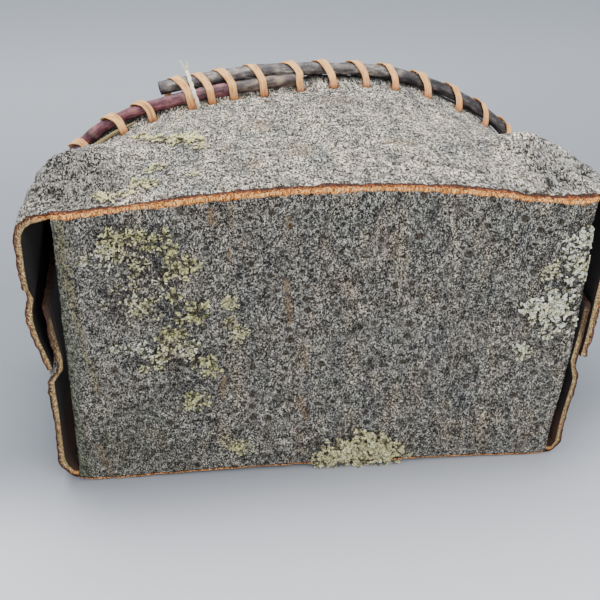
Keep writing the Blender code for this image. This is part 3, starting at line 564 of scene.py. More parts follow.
def rod_material():
    m = Mat("rod_bark", 0.5, 0.45)
    fib = m.attr("along", True)        # centimetres along, centimetres round
    age = m.attr("age")                # 0 grey-purple, 1 wine red
    wrinkle = m.noise(m.stretch(fib, (0.7, 9.0, 1.0)), 1.0, 5, 0.62)
    mottle = m.noise(m.stretch(fib, (1.2, 3.0, 1.0)), 1.0, 4, 0.6)
    fleck = m.voronoi(m.stretch(fib, (7.0, 9.0, 1.0)), 1.0)
    grey = m.ramp(mottle, [(0.34, (0.015, 0.012, 0.015)), (0.46, (0.058, 0.048, 0.052)), (0.56, (0.132, 0.113, 0.102)), (0.68, (0.340, 0.298, 0.245))])
    wine = m.ramp(mottle, [(0.34, (0.022, 0.006, 0.010)), (0.50, (0.104, 0.026, 0.039)), (0.66, (0.250, 0.092, 0.096))])
    brown = m.ramp(mottle, [(0.36, (0.015, 0.009, 0.009)), (0.50, (0.070, 0.049, 0.042)), (0.66, (0.270, 0.190, 0.130))])
    dark = m.ramp(mottle, [(0.34, (0.006, 0.005, 0.006)), (0.50, (0.028, 0.022, 0.024)), (0.68, (0.130, 0.103, 0.093))])
    c = m.mix(m.step(age, 0.35, 0.65), grey, wine)
    c = m.mix(m.step(age, 1.3, 1.7), c, brown)
    c = m.mix(m.step(age, -0.3, -0.8), c, dark)
    c = m.mix(m.math("MULTIPLY", m.step(wrinkle, 0.44, 0.32), 0.75), c, (0.011, 0.008, 0.009))
    c = m.mix(m.math("MULTIPLY", m.step(fleck, 0.20, 0.12), 0.5), c, (0.320, 0.250, 0.205))
    c = m.mix(m.attr("bud"), c, (0.320, 0.225, 0.140))
    c = m.mix(m.attr("cut"), c, m.ramp(mottle, [(0.3, (0.280, 0.220, 0.152)), (0.7, (0.480, 0.408, 0.312))]))
    c = m.mix(m.attr("pith"), c, (0.220, 0.044, 0.026))
    return m.done(c, m.step(mottle, 0.3, 0.7, 0.45, 0.62), m.bump(m.math("ADD", wrinkle, m.math("MULTIPLY", mottle, 0.5)), 0.6, 0.0008))


def fibre_material(name, lo, mid, hi):
    m = Mat(name, 0.75, 0.3)
    fib = m.attr("along", True)
    streak = m.noise(m.stretch(fib, (0.5, 9.0, 1.0)), 1.0, 4, 0.6)
    c = m.ramp(streak, [(0.28, lo), (0.50, mid), (0.74, hi)])
    return m.done(c, 0.75, m.bump(streak, 0.5, 0.0005))


# painted light on the floor: a brighter pool near the viewer and a shaded band round the basket
FLOOR_NEAR, FLOOR_MID = -0.125, -0.02
FLOOR_PALE, FLOOR_SHADE_BAND, FLOOR_FAR = (0.505, 0.513, 0.543), (0.189, 0.206, 0.229), (0.338, 0.356, 0.379)


def floor_material():
    """A plain pale sheet with painted light and shade: brightest near the viewer, darkest in a painted shaded band
    round the basket's depth, a little lighter again further back.
    """
    m = Mat("pale_floor", 0.7, 0.2)
    co = m.node("ShaderNodeTexCoord", 3)
    fine = m.noise(co, 160.0, 2, 0.5)
    soft = m.noise(co, 2.2, 3, 0.5)
    apart = m.t.nodes.new("ShaderNodeSeparateXYZ")
    m.put(apart.inputs[0], co)
    back = m.math("ADD", apart.outputs[1], m.math("ADD", m.math("MULTIPLY", apart.outputs[0], -0.10), m.math("MULTIPLY", m.math("SUBTRACT", soft, 0.5), 0.05)))
    c = m.mix(m.step(back, FLOOR_NEAR, FLOOR_MID), FLOOR_PALE, FLOOR_SHADE_BAND)
    c = m.mix(m.step(back, 0.05, 1.1), c, FLOOR_FAR)
    return m.done(c, 0.7, m.bump(fine, 0.05, 0.0005))


# ------------------------------------------------------------------ mesh helpers
def mesh_from(name, verts, faces, mats=(), face_mats=None, attrs=None, world=True):
    """A mesh object from basket-frame points; faces is a list of index tuples."""
    me = bpy.data.meshes.new(name)
    v = to_world(np.asarray(verts, float)) if world else np.asarray(verts, float)
    v[:, 2] = np.maximum(v[:, 2], 0.0)  # nothing reaches under the table top
    me.from_pydata(v.tolist(), [], faces)
    for mat in mats:
        me.materials.append(mat)
    if face_mats is not None:
        me.polygons.foreach_set("material_index", np.asarray(face_mats, np.int32))
    for key, val in (attrs or {}).items():
        val = np.asarray(val, np.float32)
        a = me.attributes.new(key, "FLOAT_VECTOR" if val.ndim == 2 else "FLOAT", "POINT")
        a.data.foreach_set("vector" if val.ndim == 2 else "value", val.ravel())
    me.polygons.foreach_set("use_smooth", np.ones(len(me.polygons), bool))
    me.update()
    obj = bpy.data.objects.new(name, me)
    bpy.context.scene.collection.objects.link(obj)
    return obj


def face_out(obj):
    bm = bmesh.new()
    bm.from_mesh(obj.data)
    bmesh.ops.recalc_face_normals(bm, faces=bm.faces)
    bm.to_mesh(obj.data)
    bm.free()


def grid_normals(P, like):
    """Unit normals of a grid of points, on the side that `like` points to."""
    du, dv = np.gradient(P, axis=1), np.gradient(P, axis=0)
    n = np.cross(du, dv)
    n /= np.maximum(np.linalg.norm(n, axis=-1, keepdims=True), 1e-12)
    sign = np.sign(np.sum(n * like, axis=-1, keepdims=True))
    sign[sign == 0] = 1
    return n * sign


# ------------------------------------------------------------------ the bark sheet
NF, NP = 240, 147                   # columns across the folds, rows of the panel
NUL, NUR, NLL, NLR = 54, 60, 54, 51  # columns of the flaps
NA, NB = 90, 42                     # rows of the upper and the lower wall
LO_U, HI_U = fold_ends(True)
LO_L, HI_L = fold_ends(False)
COLS_U = np.concatenate([np.linspace(-WALL_A_L, LO_U, NUL + 1)[:-1], np.linspace(LO_U, HI_U, NF + 1), np.linspace(HI_U, WALL_A_R, NUR + 1)[1:]])
COLS_L = np.concatenate([np.linspace(-WALL_B_L, LO_L, NLL + 1)[:-1], np.linspace(LO_L, HI_L, NF + 1), np.linspace(HI_L, WALL_B_R, NLR + 1)[1:]])


def wall_grid(upper, cols, rows, first, last):
    """Smooth outer face of a wall, from the mouth to its fold; first and last are the fold's columns."""
    P, N = np.zeros((len(rows), len(cols), 3)), np.zeros((len(rows), len(cols), 3))
    for r, y in enumerate(rows):
        P[r], N[r] = wall(upper, cols, y)
    off = np.maximum(cols[first] - cols, cols - cols[last])
    w = smooth(off / (4 * MM))[None, :]
    share = ((DEPTH - rows) / (DEPTH - FOLD_CUT))[:, None]
    P[..., 1] -= w * FOLD_CUT * share
    return P, N


def capsule(px, x0, y0, x1, y1, w):
    """1 on a stroke between two places of the view, 0 past its width."""
    a, b = np.array([x0, y0], float), np.array([x1, y1], float)
    t = np.clip(((px - a) @ (b - a)) / max(1e-9, (b - a) @ (b - a)), 0, 1)
    d = np.linalg.norm(px - (a + t[..., None] * (b - a)), axis=-1)
    return smooth(1.25 - d / w)


def blob(px, x, y, rx, ry):
    return smooth(1.35 - np.hypot((px[..., 0] - x) / rx, (px[..., 1] - y) / ry))


def scatter(seed, n, u0, u1, v0, v1, r0, r1, bias=0.0):
    rng = np.random.default_rng(seed)
    t = rng.random(n)
    u = u0 + (u1 - u0) * (t ** (1 / (1 + bias)))
    v = v0 + (v1 - v0) * rng.random(n)
    r = r0 + (r1 - r0) * rng.random(n) ** 2.0
    return u, v, r


def pores(u, v, places):
    """Depth of the round pores and height of their raised rims."""
    pit, rim = np.zeros(u.shape), np.zeros(u.shape)
    for pu, pv, r in zip(*places):
        near = (np.abs(u - pu) < 2.2 * r) & (np.abs(v - pv) < 2.2 * r)
        if not near.any():
            continue
        du, dv = (u[near] - pu) / (1.18 * r), (v[near] - pv) / (0.92 * r)
        d = np.sqrt(du * du + dv * dv) * (1 + 0.22 * noise(u[near] / 1.3, v[near] / 1.3, 5))
        pit[near] = np.maximum(pit[near], np.exp(-(d / 0.62) ** 4))
        rim[near] = np.maximum(rim[near], np.exp(-(((d - 1.12) / 0.34) ** 2)))
    return pit, rim


def relief(u, v, extra_rough):
    """Height of the bark's surface over the smooth sheet, in mm, at mm places on the sheet."""
    h = 0.60 * fbm(u / 46, v / 70, 2, 3) + 0.42 * fbm(u / 12, v / 19, 3, 11)
    h += 0.30 * fbm(u / 3.6, v / 5.2, 2, 23, 0.7)
    seam = 1 - np.abs(noise(u / 3.4 + 0.6 * noise(u / 9, v / 12, 2), v / 24, 41))
    h -= 0.30 * smooth((seam - 0.86) / 0.14)
    warp = 0.35 * noise(u / 6, v / 6, 61)
    _, border, tag = cells(u / 6.4 + warp, v / 8.2 + warp, 71)
    h += 0.34 * (tag - 0.5) * smooth(border / 0.10) - 0.16 * (1 - smooth(border / 0.09))
    _, border, tag = cells(u / 8.5 - warp, v / 6.5 + warp, 91)
    crag = 1.75 * fbm(u / 6.0, v / 5.0, 3, 101, 0.7) + 1.6 * (tag - 0.4) * smooth(border / 0.16) - 0.7 * (1 - smooth(border / 0.12))
    h += extra_rough * crag
    # also returned: how deep the crevices are, for painted shade, and how high the flakes stand, for a pale colour with
    # a painted highlight
    deep = np.clip(1.6 * extra_rough - 0.8, 0, 1)
    return h, deep * smooth((-crag - 0.45) / 0.8), np.clip(extra_rough * smooth((crag - 0.35) / 1.0), 0, 1)


def edge_past(g):
    """How far the mouth's edge stands past its plain line, at g along the mouth."""
    return EDGE_PAST * smooth((165 * MM - np.abs(g)) / (30 * MM))


def edge_flare(g):
    """How far the edge is drawn out towards the rods, at g along the mouth."""
    room = min([out for out, back in rods_at(g) if back > -2 * MM] or [0.0]) - 1.05 * ROD_R - 0.15 * MM
    return float(np.clip(room, 0.2 * MM, 3.8 * MM)) * float(edge_past(g)) / EDGE_PAST


def build_bark(mats):
    rows_a = np.linspace(DEPTH, FOLD_CUT, NA + 1)
    rows_b = np.linspace(FOLD_CUT, DEPTH, NB + 1)
    iu0, iu1, il0, il1 = NUL, NUL + NF, NLL, NLL + NF
    PA, NAw = wall_grid(True, COLS_U, rows_a, iu0, iu1)
    PB, NBw = wall_grid(False, COLS_L, rows_b, il0, il1)

    top, low = wall(True, COLS_U[iu0: iu1 + 1], 0.0)[0], wall(False, COLS_L[il0: il1 + 1], 0.0)[0]
    t = np.linspace(0, 1, NP + 1)[:, None]
    PP = np.zeros((NP + 1, NF + 1, 3))
    PP[..., 0] = top[:, 0] * (1 - t) + low[:, 0] * t
    PP[..., 0] += PANEL_BULGE * np.sin(np.pi * t) ** 1.3 * smooth((top[:, 0] - 0.085) / 0.055)
    PP[..., 2] = (top[:, 2] - FOLD_CUT) * (1 - t) + (low[:, 2] + FOLD_CUT) * t
    left = PP[..., 0] - PP[:, :1, 0]
    PP[..., 1] += 2.5 * MM * (1 - np.clip(left / (8.5 * MM), 0, 1)) ** 2 * smooth(t * 12) * smooth((1 - t) * 12)
    right = PP[:, -1:, 0] - PP[..., 0]
    PP[..., 1] += 1.0 * MM * (1 - np.clip(right / (5 * MM), 0, 1)) ** 2 * smooth(t * 12) * smooth((1 - t) * 12)

    inner = {}
    inner["A"], inner["P"], inner["B"] = PA.copy(), PP.copy(), PB.copy()
    for key, N, rows, i0, i1, cols in (("A", NAw, rows_a, iu0, iu1, COLS_U), ("B", NBw, rows_b, il0, il1, COLS_L)):
        Q = inner[key]
        Q -= N * BARK_T
        over = np.minimum(smooth((cols - cols[i0]) / (3 * MM) + 1), smooth((cols[i1] - cols) / (3 * MM) + 1))[None, :]
        share = ((DEPTH - rows) / (DEPTH - FOLD_CUT))[:, None]
        Q[..., 1] += over * (BARK_T - FOLD_CUT) * share
    inner["P"][..., 1] = BARK_T
    inner["P"][..., 2] = (top[:, 2] - BARK_T) * (1 - t) + (low[:, 2] + BARK_T) * t

    # places on the sheet, in mm: along the fold and along the sheet's length
    uA, vA = np.broadcast_to(COLS_U / MM, PA.shape[:2]), np.broadcast_to((rows_a / MM)[:, None], PA.shape[:2])
    uP = np.broadcast_to(PP[0, :, 0] / MM, PP.shape[:2])
    vP = -np.broadcast_to(t * (PANEL_H / MM), PP.shape[:2])
    uB, vB = np.broadcast_to(COLS_L / MM, PB.shape[:2]), np.broadcast_to((-PANEL_H / MM - rows_b / MM)[:, None], PB.shape[:2])

    pxA, pxP = to_frame(PA), to_frame(PP)
    faces_cam = np.sum(grid_normals(PA, NAw) * (np.array(CAM.translation) - PA), axis=-1) > 0
    shoulder = np.maximum(1.35 * blob(pxA, 62, 176, 58, 34), 1.25 * blob(pxA, 562, 168, 56, 34)) * np.where(faces_cam, 1, 0.6)
    shoulder = np.maximum(shoulder, smooth((np.abs(uA) - 118) / 30) * 0.55) * smooth((155 - vA) / 25)
    roughA = np.clip(shoulder, 0, 1.35)
    roughP = 0.25 * smooth((-60 - uP) / 60) * smooth((vP + 150) / 60)
    roughB = 0.4 * smooth((np.abs(uB) - 100) / 40)

    grids = []
    for key, P, like, u, v, rough, area in (
        ("A", PA, NAw, uA, vA, roughA, ((-240, 250), (4, 162), 210, 0.0)),
        ("P", PP, np.array([0, -1.0, 0]), uP, vP, roughP, ((-140, 142), (-170, -3), 330, 0.55)),
        ("B", PB, NBw, uB, vB, roughB, ((-255, 250), (-337, -178), 200, 0.0)),
    ):
        n = grid_normals(P, like)
        (u0, u1), (v0, v1), count, bias = area
        places = scatter(ord(key), count, u0, u1, v0, v1, 0.9, 2.7, bias)
        pit, rim = pores(u, v, places)
        fade = 1 - 0.35 * rough
        h, gap, flake_highlight = relief(u, v, rough)
        h = h - 0.85 * pit * fade + 0.36 * rim * fade
        a = {k: np.zeros(u.shape) for k in ("green", "olive", "scar", "crack_and_shade", "flap", "under", "dim")}
        a["gap"], a["flake_highlight"] = 0.9 * gap, flake_highlight
        a["pore"], a["rim"], a["rough"] = pit * (0.55 + 0.45 * noise(u / 9, v / 9, 77)), rim * (0.5 + 0.5 * noise(u / 3, v / 3, 78)), rough * (np.where(u > 0, 0.26, 1.0) if key == "A" else 1.0)
        a["walls"] = np.full(u.shape, 0.0 if key == "P" else 1.0)
        a["deep"] = np.zeros(u.shape)
        grids.append([key, P, n, u, v, h, a])

    (_, _, _, _, _, hA, aA), (_, _, _, _, _, hP, aP), (_, _, _, _, _, hB, aB) = grids
    # scars, margins and cracks, by their place in the view
    for x0, y0, x1, y1, w, s in ((232, 198, 230, 226, 3.6, 0.45), (229, 250, 229, 264, 2.6, 0.75), (286, 280, 290, 324, 2.8, 0.95), (224, 378, 223, 398, 2.8, 0.9), (210, 211, 211, 222, 4.2, 0.95),
                                 (304, 345, 306, 372, 4.0, 0.35), (300, 400, 306, 418, 5.0, 0.5), (298, 430, 302, 452, 5.0, 0.35), (288, 218, 290, 228, 3.0, 0.6), (98, 448, 112, 474, 5.0, 0.4)):
        aP["scar"] = np.maximum(aP["scar"], s * capsule(pxP, x0, y0, x1, y1, w))
    knot = blob(pxP, 210, 218, 8, 8)
    hP += 0.9 * knot
    margin = smooth(1.2 - (uP - uP[0, 0]) / (9 + 3 * noise(vP / 16, vP / 50, 9)))
    aP["green"] = np.maximum(0.78 * margin, 0.35 * blob(pxP, 130, 440, 45, 40))
    aP["olive"] = 0.85 * np.maximum.reduce([capsule(pxP, 58, 226, 64, 262, 5.5), capsule(pxP, 64, 262, 73, 300, 5.5), capsule(pxP, 73, 300, 82, 340, 4.6), capsule(pxP, 82, 340, 98, 392, 3.6)])
    # painted shade under the panel's lichen beds, with two broad faint patches
    for x, y, rx, ry, s in ((118, 246, 34, 26, 0.85), (150, 262, 40, 34, 0.8), (128, 300, 34, 22, 0.8), (180, 318, 30, 26, 0.75), (172, 356, 46, 18, 0.9), (190, 384, 26, 20, 0.6), (234, 318, 16, 22, 0.5),
                            (236, 444, 17, 10, 0.5), (360, 448, 58, 17, 0.85), (150, 425, 80, 60, 0.20), (240, 290, 60, 90, 0.12), (582, 240, 16, 26, 0.8), (570, 275, 26, 32, 0.85), (552, 312, 34, 24, 0.85), (520, 350, 15, 13, 0.7)):
        aP["under"] = np.maximum(aP["under"], s * blob(pxP, x, y, rx, ry))
    hP += 0.5 * aP["olive"]
    hook = [(243, 351), (248, 357), (255, 354), (261, 350), (267, 353), (266, 357)]
    for a, b in zip(hook, hook[1:]):
        aP["crack_and_shade"] = np.maximum(aP["crack_and_shade"], capsule(pxP, *a, *b, 1.3))
    aP["crack_and_shade"] = np.maximum(aP["crack_and_shade"], capsule(pxP, 251, 356, 251, 364, 0.9))
    hP -= 1.1 * aP["crack_and_shade"]
    arc = np.abs(np.hypot((pxP[..., 0] - 512) / 14, (pxP[..., 1] - 440) / 10) - 1)
    aP["rim"] = np.maximum(aP["rim"], 0.8 * smooth(1.3 - arc / 0.14) * (pxP[..., 1] > 438))
    # the defect of the upper fold at the right, and tan patches on the upper wall
    dip = blob(pxA, 532, 197, 16, 7)
    hA -= 1.6 * dip
    aA["crack_and_shade"] = np.maximum.reduce([0.9 * capsule(pxA, 519, 197, 535, 195, 3.0), 0.9 * capsule(pxA, 535, 194, 545, 192, 2.3), 0.95 * capsule(pxA, 545, 192, 551, 186, 2.4), 0.95 * capsule(pxA, 551, 186, 546, 180, 2.8)])
    aA["scar"] = np.maximum.reduce([0.30 * blob(pxA, x, y, rx, ry) for x, y, rx, ry in ((262, 126, 10, 6), (252, 165, 16, 6), (226, 148, 7, 4), (336, 100, 22, 6), (300, 150, 18, 8), (392, 142, 16, 6), (285, 178, 12, 4))])
    # painted shade under the lichen beds on the upper wall, fainter over the left shoulder and beside the beds
    for x, y, rx, ry, s in ((170, 140, 36, 6, 0.85), (148, 182, 16, 5, 0.75), (106, 199, 18, 6, 0.8), (68, 178, 62, 38, 0.42), (205, 165, 62, 28, 0.20)):
        aA["under"] = np.maximum(aA["under"], s * blob(pxA, x, y, rx, ry))
    # left flap: its cut edge steps in at a crack
    edge_px = pxA[NA, :iu0]
    c_step = int(np.argmin(np.hypot(edge_px[:, 0] - 26, edge_px[:, 1] - 293)))
    cols = np.arange(len(COLS_U))
    fade = smooth((42 - vA) / 40)
    step_in = 2.0 * smooth((c_step - cols + 0.8) / 1.6)[None, :] * fade
    notch = np.exp(-((cols - c_step) / 0.9) ** 2)[None, :] * smooth((12 - vA) / 12)
    past = (COLS_U[c_step] - COLS_U) / MM
    spring = ((3.4 * smooth((past - 1) / 13) - 2.6 * smooth((past - 20) / 22)) * (past > 0))[None, :] * smooth((95 - vA) / 85)
    reach = (6.0 * smooth(past / 40) * (past > 0))[None, :] * smooth((110 - vA) / 100)
    along_a = np.gradient(PA, axis=1)
    along_a /= -np.linalg.norm(along_a, axis=-1, keepdims=True)

    # pits and loose fibres round the awl holes
    for g in HOLES:
        p, n = mouth_np(g, 0.0, -HOLE_BACK)
        for P, h, a in ((PA, hA, aA), (PB, hB, aB)):
            d = np.linalg.norm(P - p, axis=-1) / MM
            a["crack_and_shade"] = np.maximum(a["crack_and_shade"], 0.85 * smooth((4.3 - d) / 2.0))
            a["scar"] = np.maximum(a["scar"], 0.6 * smooth((6.5 - d) / 2.5))
            h -= 0.9 * smooth((4.3 - d) / 2.4)

    out = {}
    for key, P, n, u, v, h, a in grids:
        Q = P + n * (h * MM)[..., None]
        if key in "AB":  # the mouth's cut edge is a little uneven
            near = smooth((np.where(key == "A", v, -PANEL_H / MM - v) - (DEPTH / MM - 7)) / 7)
            Q[..., 1] += near * 0.8 * MM * noise(u / 9, 0 * u + 3, 5 if key == "A" else 6)
            if key == "A":
                lip = smooth((v - (DEPTH / MM - 9)) / 9)
                Q[..., 1] += lip * edge_past(u * MM)
                flare = np.array([edge_flare(g) for g in COLS_U])
                Q += n * (lip * flare[None, :])[..., None]
                inner["A"][..., 1] += lip * edge_past(u * MM)
                # painted shade: the lip past the plain edge, under and behind the rods, is coloured nearly black
                a["crack_and_shade"] = np.maximum(a["crack_and_shade"], 0.93 * smooth((v - (DEPTH / MM - 5.2)) / 2.4) * edge_past(u * MM) / EDGE_PAST)
            Q -= n * (near * np.maximum(h, 0) * MM)[..., None]
        if key == "A":
            Q += n * ((spring - step_in) * MM)[..., None] + along_a * (reach * MM)[..., None]
            Q[..., 1] += notch * 4.5 * MM
            inner["A"] += NAw * ((spring - step_in) * MM)[..., None] + along_a * (reach * MM)[..., None]
            inner["A"][..., 1] += notch * 3.0 * MM
        out[key] = Q

    # the torn colour of the upper fold runs unevenly on to the wall and the panel
    ragged = lambda k: 0.30 + 0.50 * noise(uP[0] / 2.1, uP[0] * 0 + 5.0 * k, 15 + k) + 0.25 * noise(uP[0] / 17, uP[0] * 0 + 2.0 * k, 35 + k)
    out["A"][NA - 1, iu0: iu1 + 1] += (out["A"][NA, iu0: iu1 + 1] - out["A"][NA - 1, iu0: iu1 + 1]) * ragged(1)[:, None]
    out["P"][1] += (out["P"][0] - out["P"][1]) * ragged(2)[:, None]
    aA["deep"][NA - 1], aA["deep"][NA] = 0.0, 0.10
    aP["deep"][0], aP["deep"][1] = 0.55, 0.40

    # bevelled folds, whose orange inner bark stands a little proud
    nb = 4
    bevels = {}
    for key, wall_row, panel_row, sign, cols in (("T", out["A"][NA, iu0: iu1 + 1], out["P"][0], 1, uP[0]), ("L", out["B"][0, il0: il1 + 1], out["P"][NP], -1, uP[0])):
        rows = []
        for i in range(1, nb + 1):
            s = i / (nb + 1)
            base = wall_row * (1 - s) + panel_row * s
            puff = 1.45 * 4 * s * (1 - s) * (1 + 0.25 * noise(cols / 14, cols * 0 + 3, 7)) + 0.48 * noise(cols / 1.9, cols * 0 + 1.7 * i, 8) + 0.35 * noise(cols / 4.5, cols * 0 + i * 0.6, 9)
            puff = puff * (1 - 0.75 * np.exp(-((cols - 112) / 6) ** 2)) if sign > 0 else puff * 0.55
            rows.append(base + np.array([0, -0.707, 0.707 * sign]) * (puff * MM)[:, None])
        bevels[key] = np.array(rows)

    # ---- vertices and faces
    verts, attrs = [], {k: [] for k in ("sheet", "green", "olive", "scar", "crack_and_shade", "pore", "rim", "rough", "walls", "deep", "flap", "gap", "flake_highlight", "under", "dim")}
    count = 0

    def add(P, u, v, a):
        nonlocal count
        flat = P.reshape(-1, 3)
        verts.append(flat)
        attrs["sheet"].append(np.stack([np.ravel(u) / 10, np.ravel(v) / 10, np.zeros(flat.shape[0])], axis=1))
        for k in attrs:
            if k != "sheet":
                attrs[k].append(np.ravel(a[k]) if k in a else np.zeros(flat.shape[0]))
        idx = np.arange(count, count + flat.shape[0]).reshape(P.shape[:-1])
        count += flat.shape[0]
        return idx

    iA = add(out["A"], uA, vA, aA)
    iP = add(out["P"], uP, vP, aP)
    iB = add(out["B"], uB, vB, aB)
    levels = np.array([0.17, 0.30, 0.46, 0.57])[:, None] * np.ones((1, NF + 1))
    bu = np.broadcast_to(uP[0], (nb, NF + 1))
    iT = add(bevels["T"], bu, np.broadcast_to(np.linspace(3, 0, nb)[:, None], bu.shape), {"deep": levels})
    iL = add(bevels["L"], bu, np.broadcast_to(np.linspace(-176, -173, nb)[:, None], bu.shape), {"deep": levels})

    quads, qmat = [], []

    def sew(grid, mat):
        a, b, c, d = grid[:-1, :-1], grid[:-1, 1:], grid[1:, 1:], grid[1:, :-1]
        q = np.stack([a, b, c, d], axis=-1).reshape(-1, 4)
        quads.append(q)
        qmat.append(np.full(len(q), mat))

    sew(iA[:NA], 0)
    sew(iA[NA - 1:, : iu0 + 1], 0)
    sew(iA[NA - 1:, iu0: iu1 + 1], 1)
    sew(iA[NA - 1:, iu1:], 0)
    sew(np.concatenate([iA[NA: NA + 1, iu0: iu1 + 1], iT, iP[:1]]), 1)
    sew(iP[:2], 1)
    sew(iP[1:], 0)
    sew(np.concatenate([iP[NP:], iL[::-1], iB[:1, il0: il1 + 1]]), 1)
    sew(iB, 0)

    k = 3
    sub = {key: inner[key][::k, ::k] for key in "APB"}
    full = {"deep": 1.0}
    # painted shade: the inner faces towards the flaps' ends are darkened
    dim = lambda u, v: smooth((np.abs(u) - 116) / 22) * (0.35 + 0.65 * smooth((150 - np.abs(v + (v < -PANEL_H / MM) * PANEL_H / MM)) / 50))
    jA = add(sub["A"], uA[::k, ::k], vA[::k, ::k], {"deep": np.ones(sub["A"].shape[:2]), "dim": dim(uA, vA)[::k, ::k]})
    jP_mid = add(sub["P"][1:-1], uP[::k, ::k][1:-1], vP[::k, ::k][1:-1], {"deep": np.ones(sub["P"][1:-1].shape[:2]), "dim": dim(uP, vP * 0)[::k, ::k][1:-1]})
    # less painted shade in the middle of the lower wall
    glow = 1 - 0.30 * smooth((190 - np.abs(uB)) / 30)
    jB = add(sub["B"], uB[::k, ::k], vB[::k, ::k], {"deep": np.ones(sub["B"].shape[:2]), "dim": (dim(uB, vB) * glow)[::k, ::k]})
    a0, a1, b0, b1 = iu0 // k, iu1 // k, il0 // k, il1 // k
    jP = np.concatenate([jA[-1:, a0: a1 + 1], jP_mid, jB[:1, b0: b1 + 1]])
    sew(jA, 2)
    sew(jP, 2)
    sew(jB, 2)

    # ---- the cut edges all round the sheet: outer loop, each with its inner partner if it has one
    loop = []

    def pair(i, j=None):
        loop.append((int(i), None if j is None else int(j)))

    def run(ids, partners, skip_first=False):
        for n_, i in enumerate(ids):
            if skip_first and n_ == 0:
                continue
            pair(i, partners[n_ // k] if n_ % k == 0 else None)

    run(iA[0], jA[0])                                            # mouth edge of the upper wall, left to right
    run(iA[:, -1], jA[:, -1], True)                              # right flap's end
    run(iA[NA, iu1:][::-1], jA[-1, a1:][::-1], True)             # its lower edge, back to the fold
    for i in iT[:, -1]:
        pair(i)
    run(iP[:, -1], jP[:, -1])
    for i in iL[::-1, -1]:
        pair(i)
    run(iB[0, il1:], jB[0, b1:])
    run(iB[:, -1], jB[:, -1], True)
    run(iB[NB][::-1], jB[-1][::-1], True)
    run(iB[:, 0][::-1], jB[:, 0][::-1], True)
    run(iB[0, : il0 + 1], jB[0, : b0 + 1], True)
    for i in iL[:, 0]:
        pair(i)
    run(iP[:, 0][::-1], jP[:, 0][::-1])
    for i in iT[::-1, 0]:
        pair(i)
    run(iA[NA, : iu0 + 1][::-1], jA[-1, : a0 + 1][::-1])
    run(iA[:, 0][::-1], jA[:, 0][::-1], True)
    loop.pop()

    V = np.concatenate(verts)
    S = np.concatenate(attrs["sheet"])
    n_loop = len(loop)
    anchors = [q for q in range(n_loop) if loop[q][1] is not None]
    inner_at = np.zeros((n_loop, 3))
    for q0, q1 in zip(anchors, anchors[1:] + [anchors[0] + n_loop]):
        p0, p1 = V[loop[q0][1]], V[loop[q1 % n_loop][1]]
        for q in range(q0, q1):
            w = (q - q0) / (q1 - q0)
            inner_at[q % n_loop] = p0 * (1 - w) + p1 * w
    outer_at = V[[i for i, _ in loop]]
    loop_sheet = S[[i for i, _ in loop]]
    along = np.concatenate([[0], np.cumsum(np.linalg.norm(np.diff(outer_at, axis=0), axis=1))]) / MM
    tangent = np.roll(outer_at, -1, axis=0) - np.roll(outer_at, 1, axis=0)
    tangent /= np.maximum(np.linalg.norm(tangent, axis=1, keepdims=True), 1e-9)
    across = inner_at - outer_at
    outward = np.cross(tangent, across)
    outward /= np.maximum(np.linalg.norm(outward, axis=1, keepdims=True), 1e-9)
    mids = []
    for level, share in enumerate((0.30, 0.62, 0.9)):
        wob = (0.42 if level < 2 else 0.16) * noise(along / 2.1, along * 0 + 3.3 * level, 51) + 0.22 * noise(along / 0.9, along * 0 + level, 52)
        Q = outer_at + across * share + outward * (wob * MM)[:, None]
        lu, lv = loop_sheet[:, 0] * 10, loop_sheet[:, 1] * 10
        off = np.maximum(LO_U / MM - lu, lu - HI_U / MM)
        by_fold = (np.minimum(np.abs(lv - FOLD_CUT / MM), np.abs(lv + (PANEL_H + FOLD_CUT) / MM)) < 1.0) & (off > -0.5)
        hidden_end = (lv < -PANEL_H / MM) & (np.abs(lu) > 253)
        by_end = ((lv < -PANEL_H / MM) & by_fold) * smooth((np.abs(lu) - 222) / 20)
        # painted shade on the torn ends of the hidden flaps
        extra = {"deep": np.full(n_loop, share), "flap": np.where(by_fold, smooth(off / 15), 1.0), "dim": np.maximum(1.0 * hidden_end, 0.75 * by_end)}
        mids.append(add(Q, loop_sheet[:, 0] * 10 + share * 3.8, loop_sheet[:, 1] * 10 + share * 3.8, extra))
    chain = [np.array([i for i, _ in loop])] + mids
    for lo_, hi_ in zip(chain, chain[1:]):
        q = np.stack([lo_, np.roll(lo_, -1), np.roll(hi_, -1), hi_], axis=-1)
        quads.append(q)
        qmat.append(np.full(n_loop, 1))
    faces = [tuple(int(x) for x in f) for f in np.concatenate(quads)]
    face_mats = list(np.concatenate(qmat))
    last = mids[-1]
    for q0, q1 in zip(anchors, anchors[1:] + [anchors[0] + n_loop]):
        j0, j1 = loop[q0][1], loop[q1 % n_loop][1]
        fan = [int(last[q % n_loop]) for q in range(q0, q1 + 1)]
        faces.append(tuple(fan + ([j1, j0] if j0 != j1 else [j0])))
        face_mats.append(1)

    # the outer loop and the folds carry some torn colour
    all_attrs = {kk: (np.concatenate(vv) if vv else []) for kk, vv in attrs.items()}
    obj = mesh_from("bark", np.concatenate(verts), faces, mats, face_mats, all_attrs)
    face_out(obj)
    grid_data = {
        "A": (out["A"], grid_normals(out["A"], NAw), pxA, faces_cam),
        "P": (out["P"], grid_normals(PP, np.array([0, -1.0, 0])), pxP, np.ones(pxP.shape[:2], bool)),
        "B": (out["B"], grid_normals(out["B"], NBw), to_frame(PB), np.zeros(PB.shape[:2], bool)),
    }
    return obj, grid_data


# ------------------------------------------------------------------ along the mouth
LEN_R, LEN_L = half_length(1, DEPTH), half_length(-1, DEPTH)
MOUTH_LEN = LEN_R + LEN_L


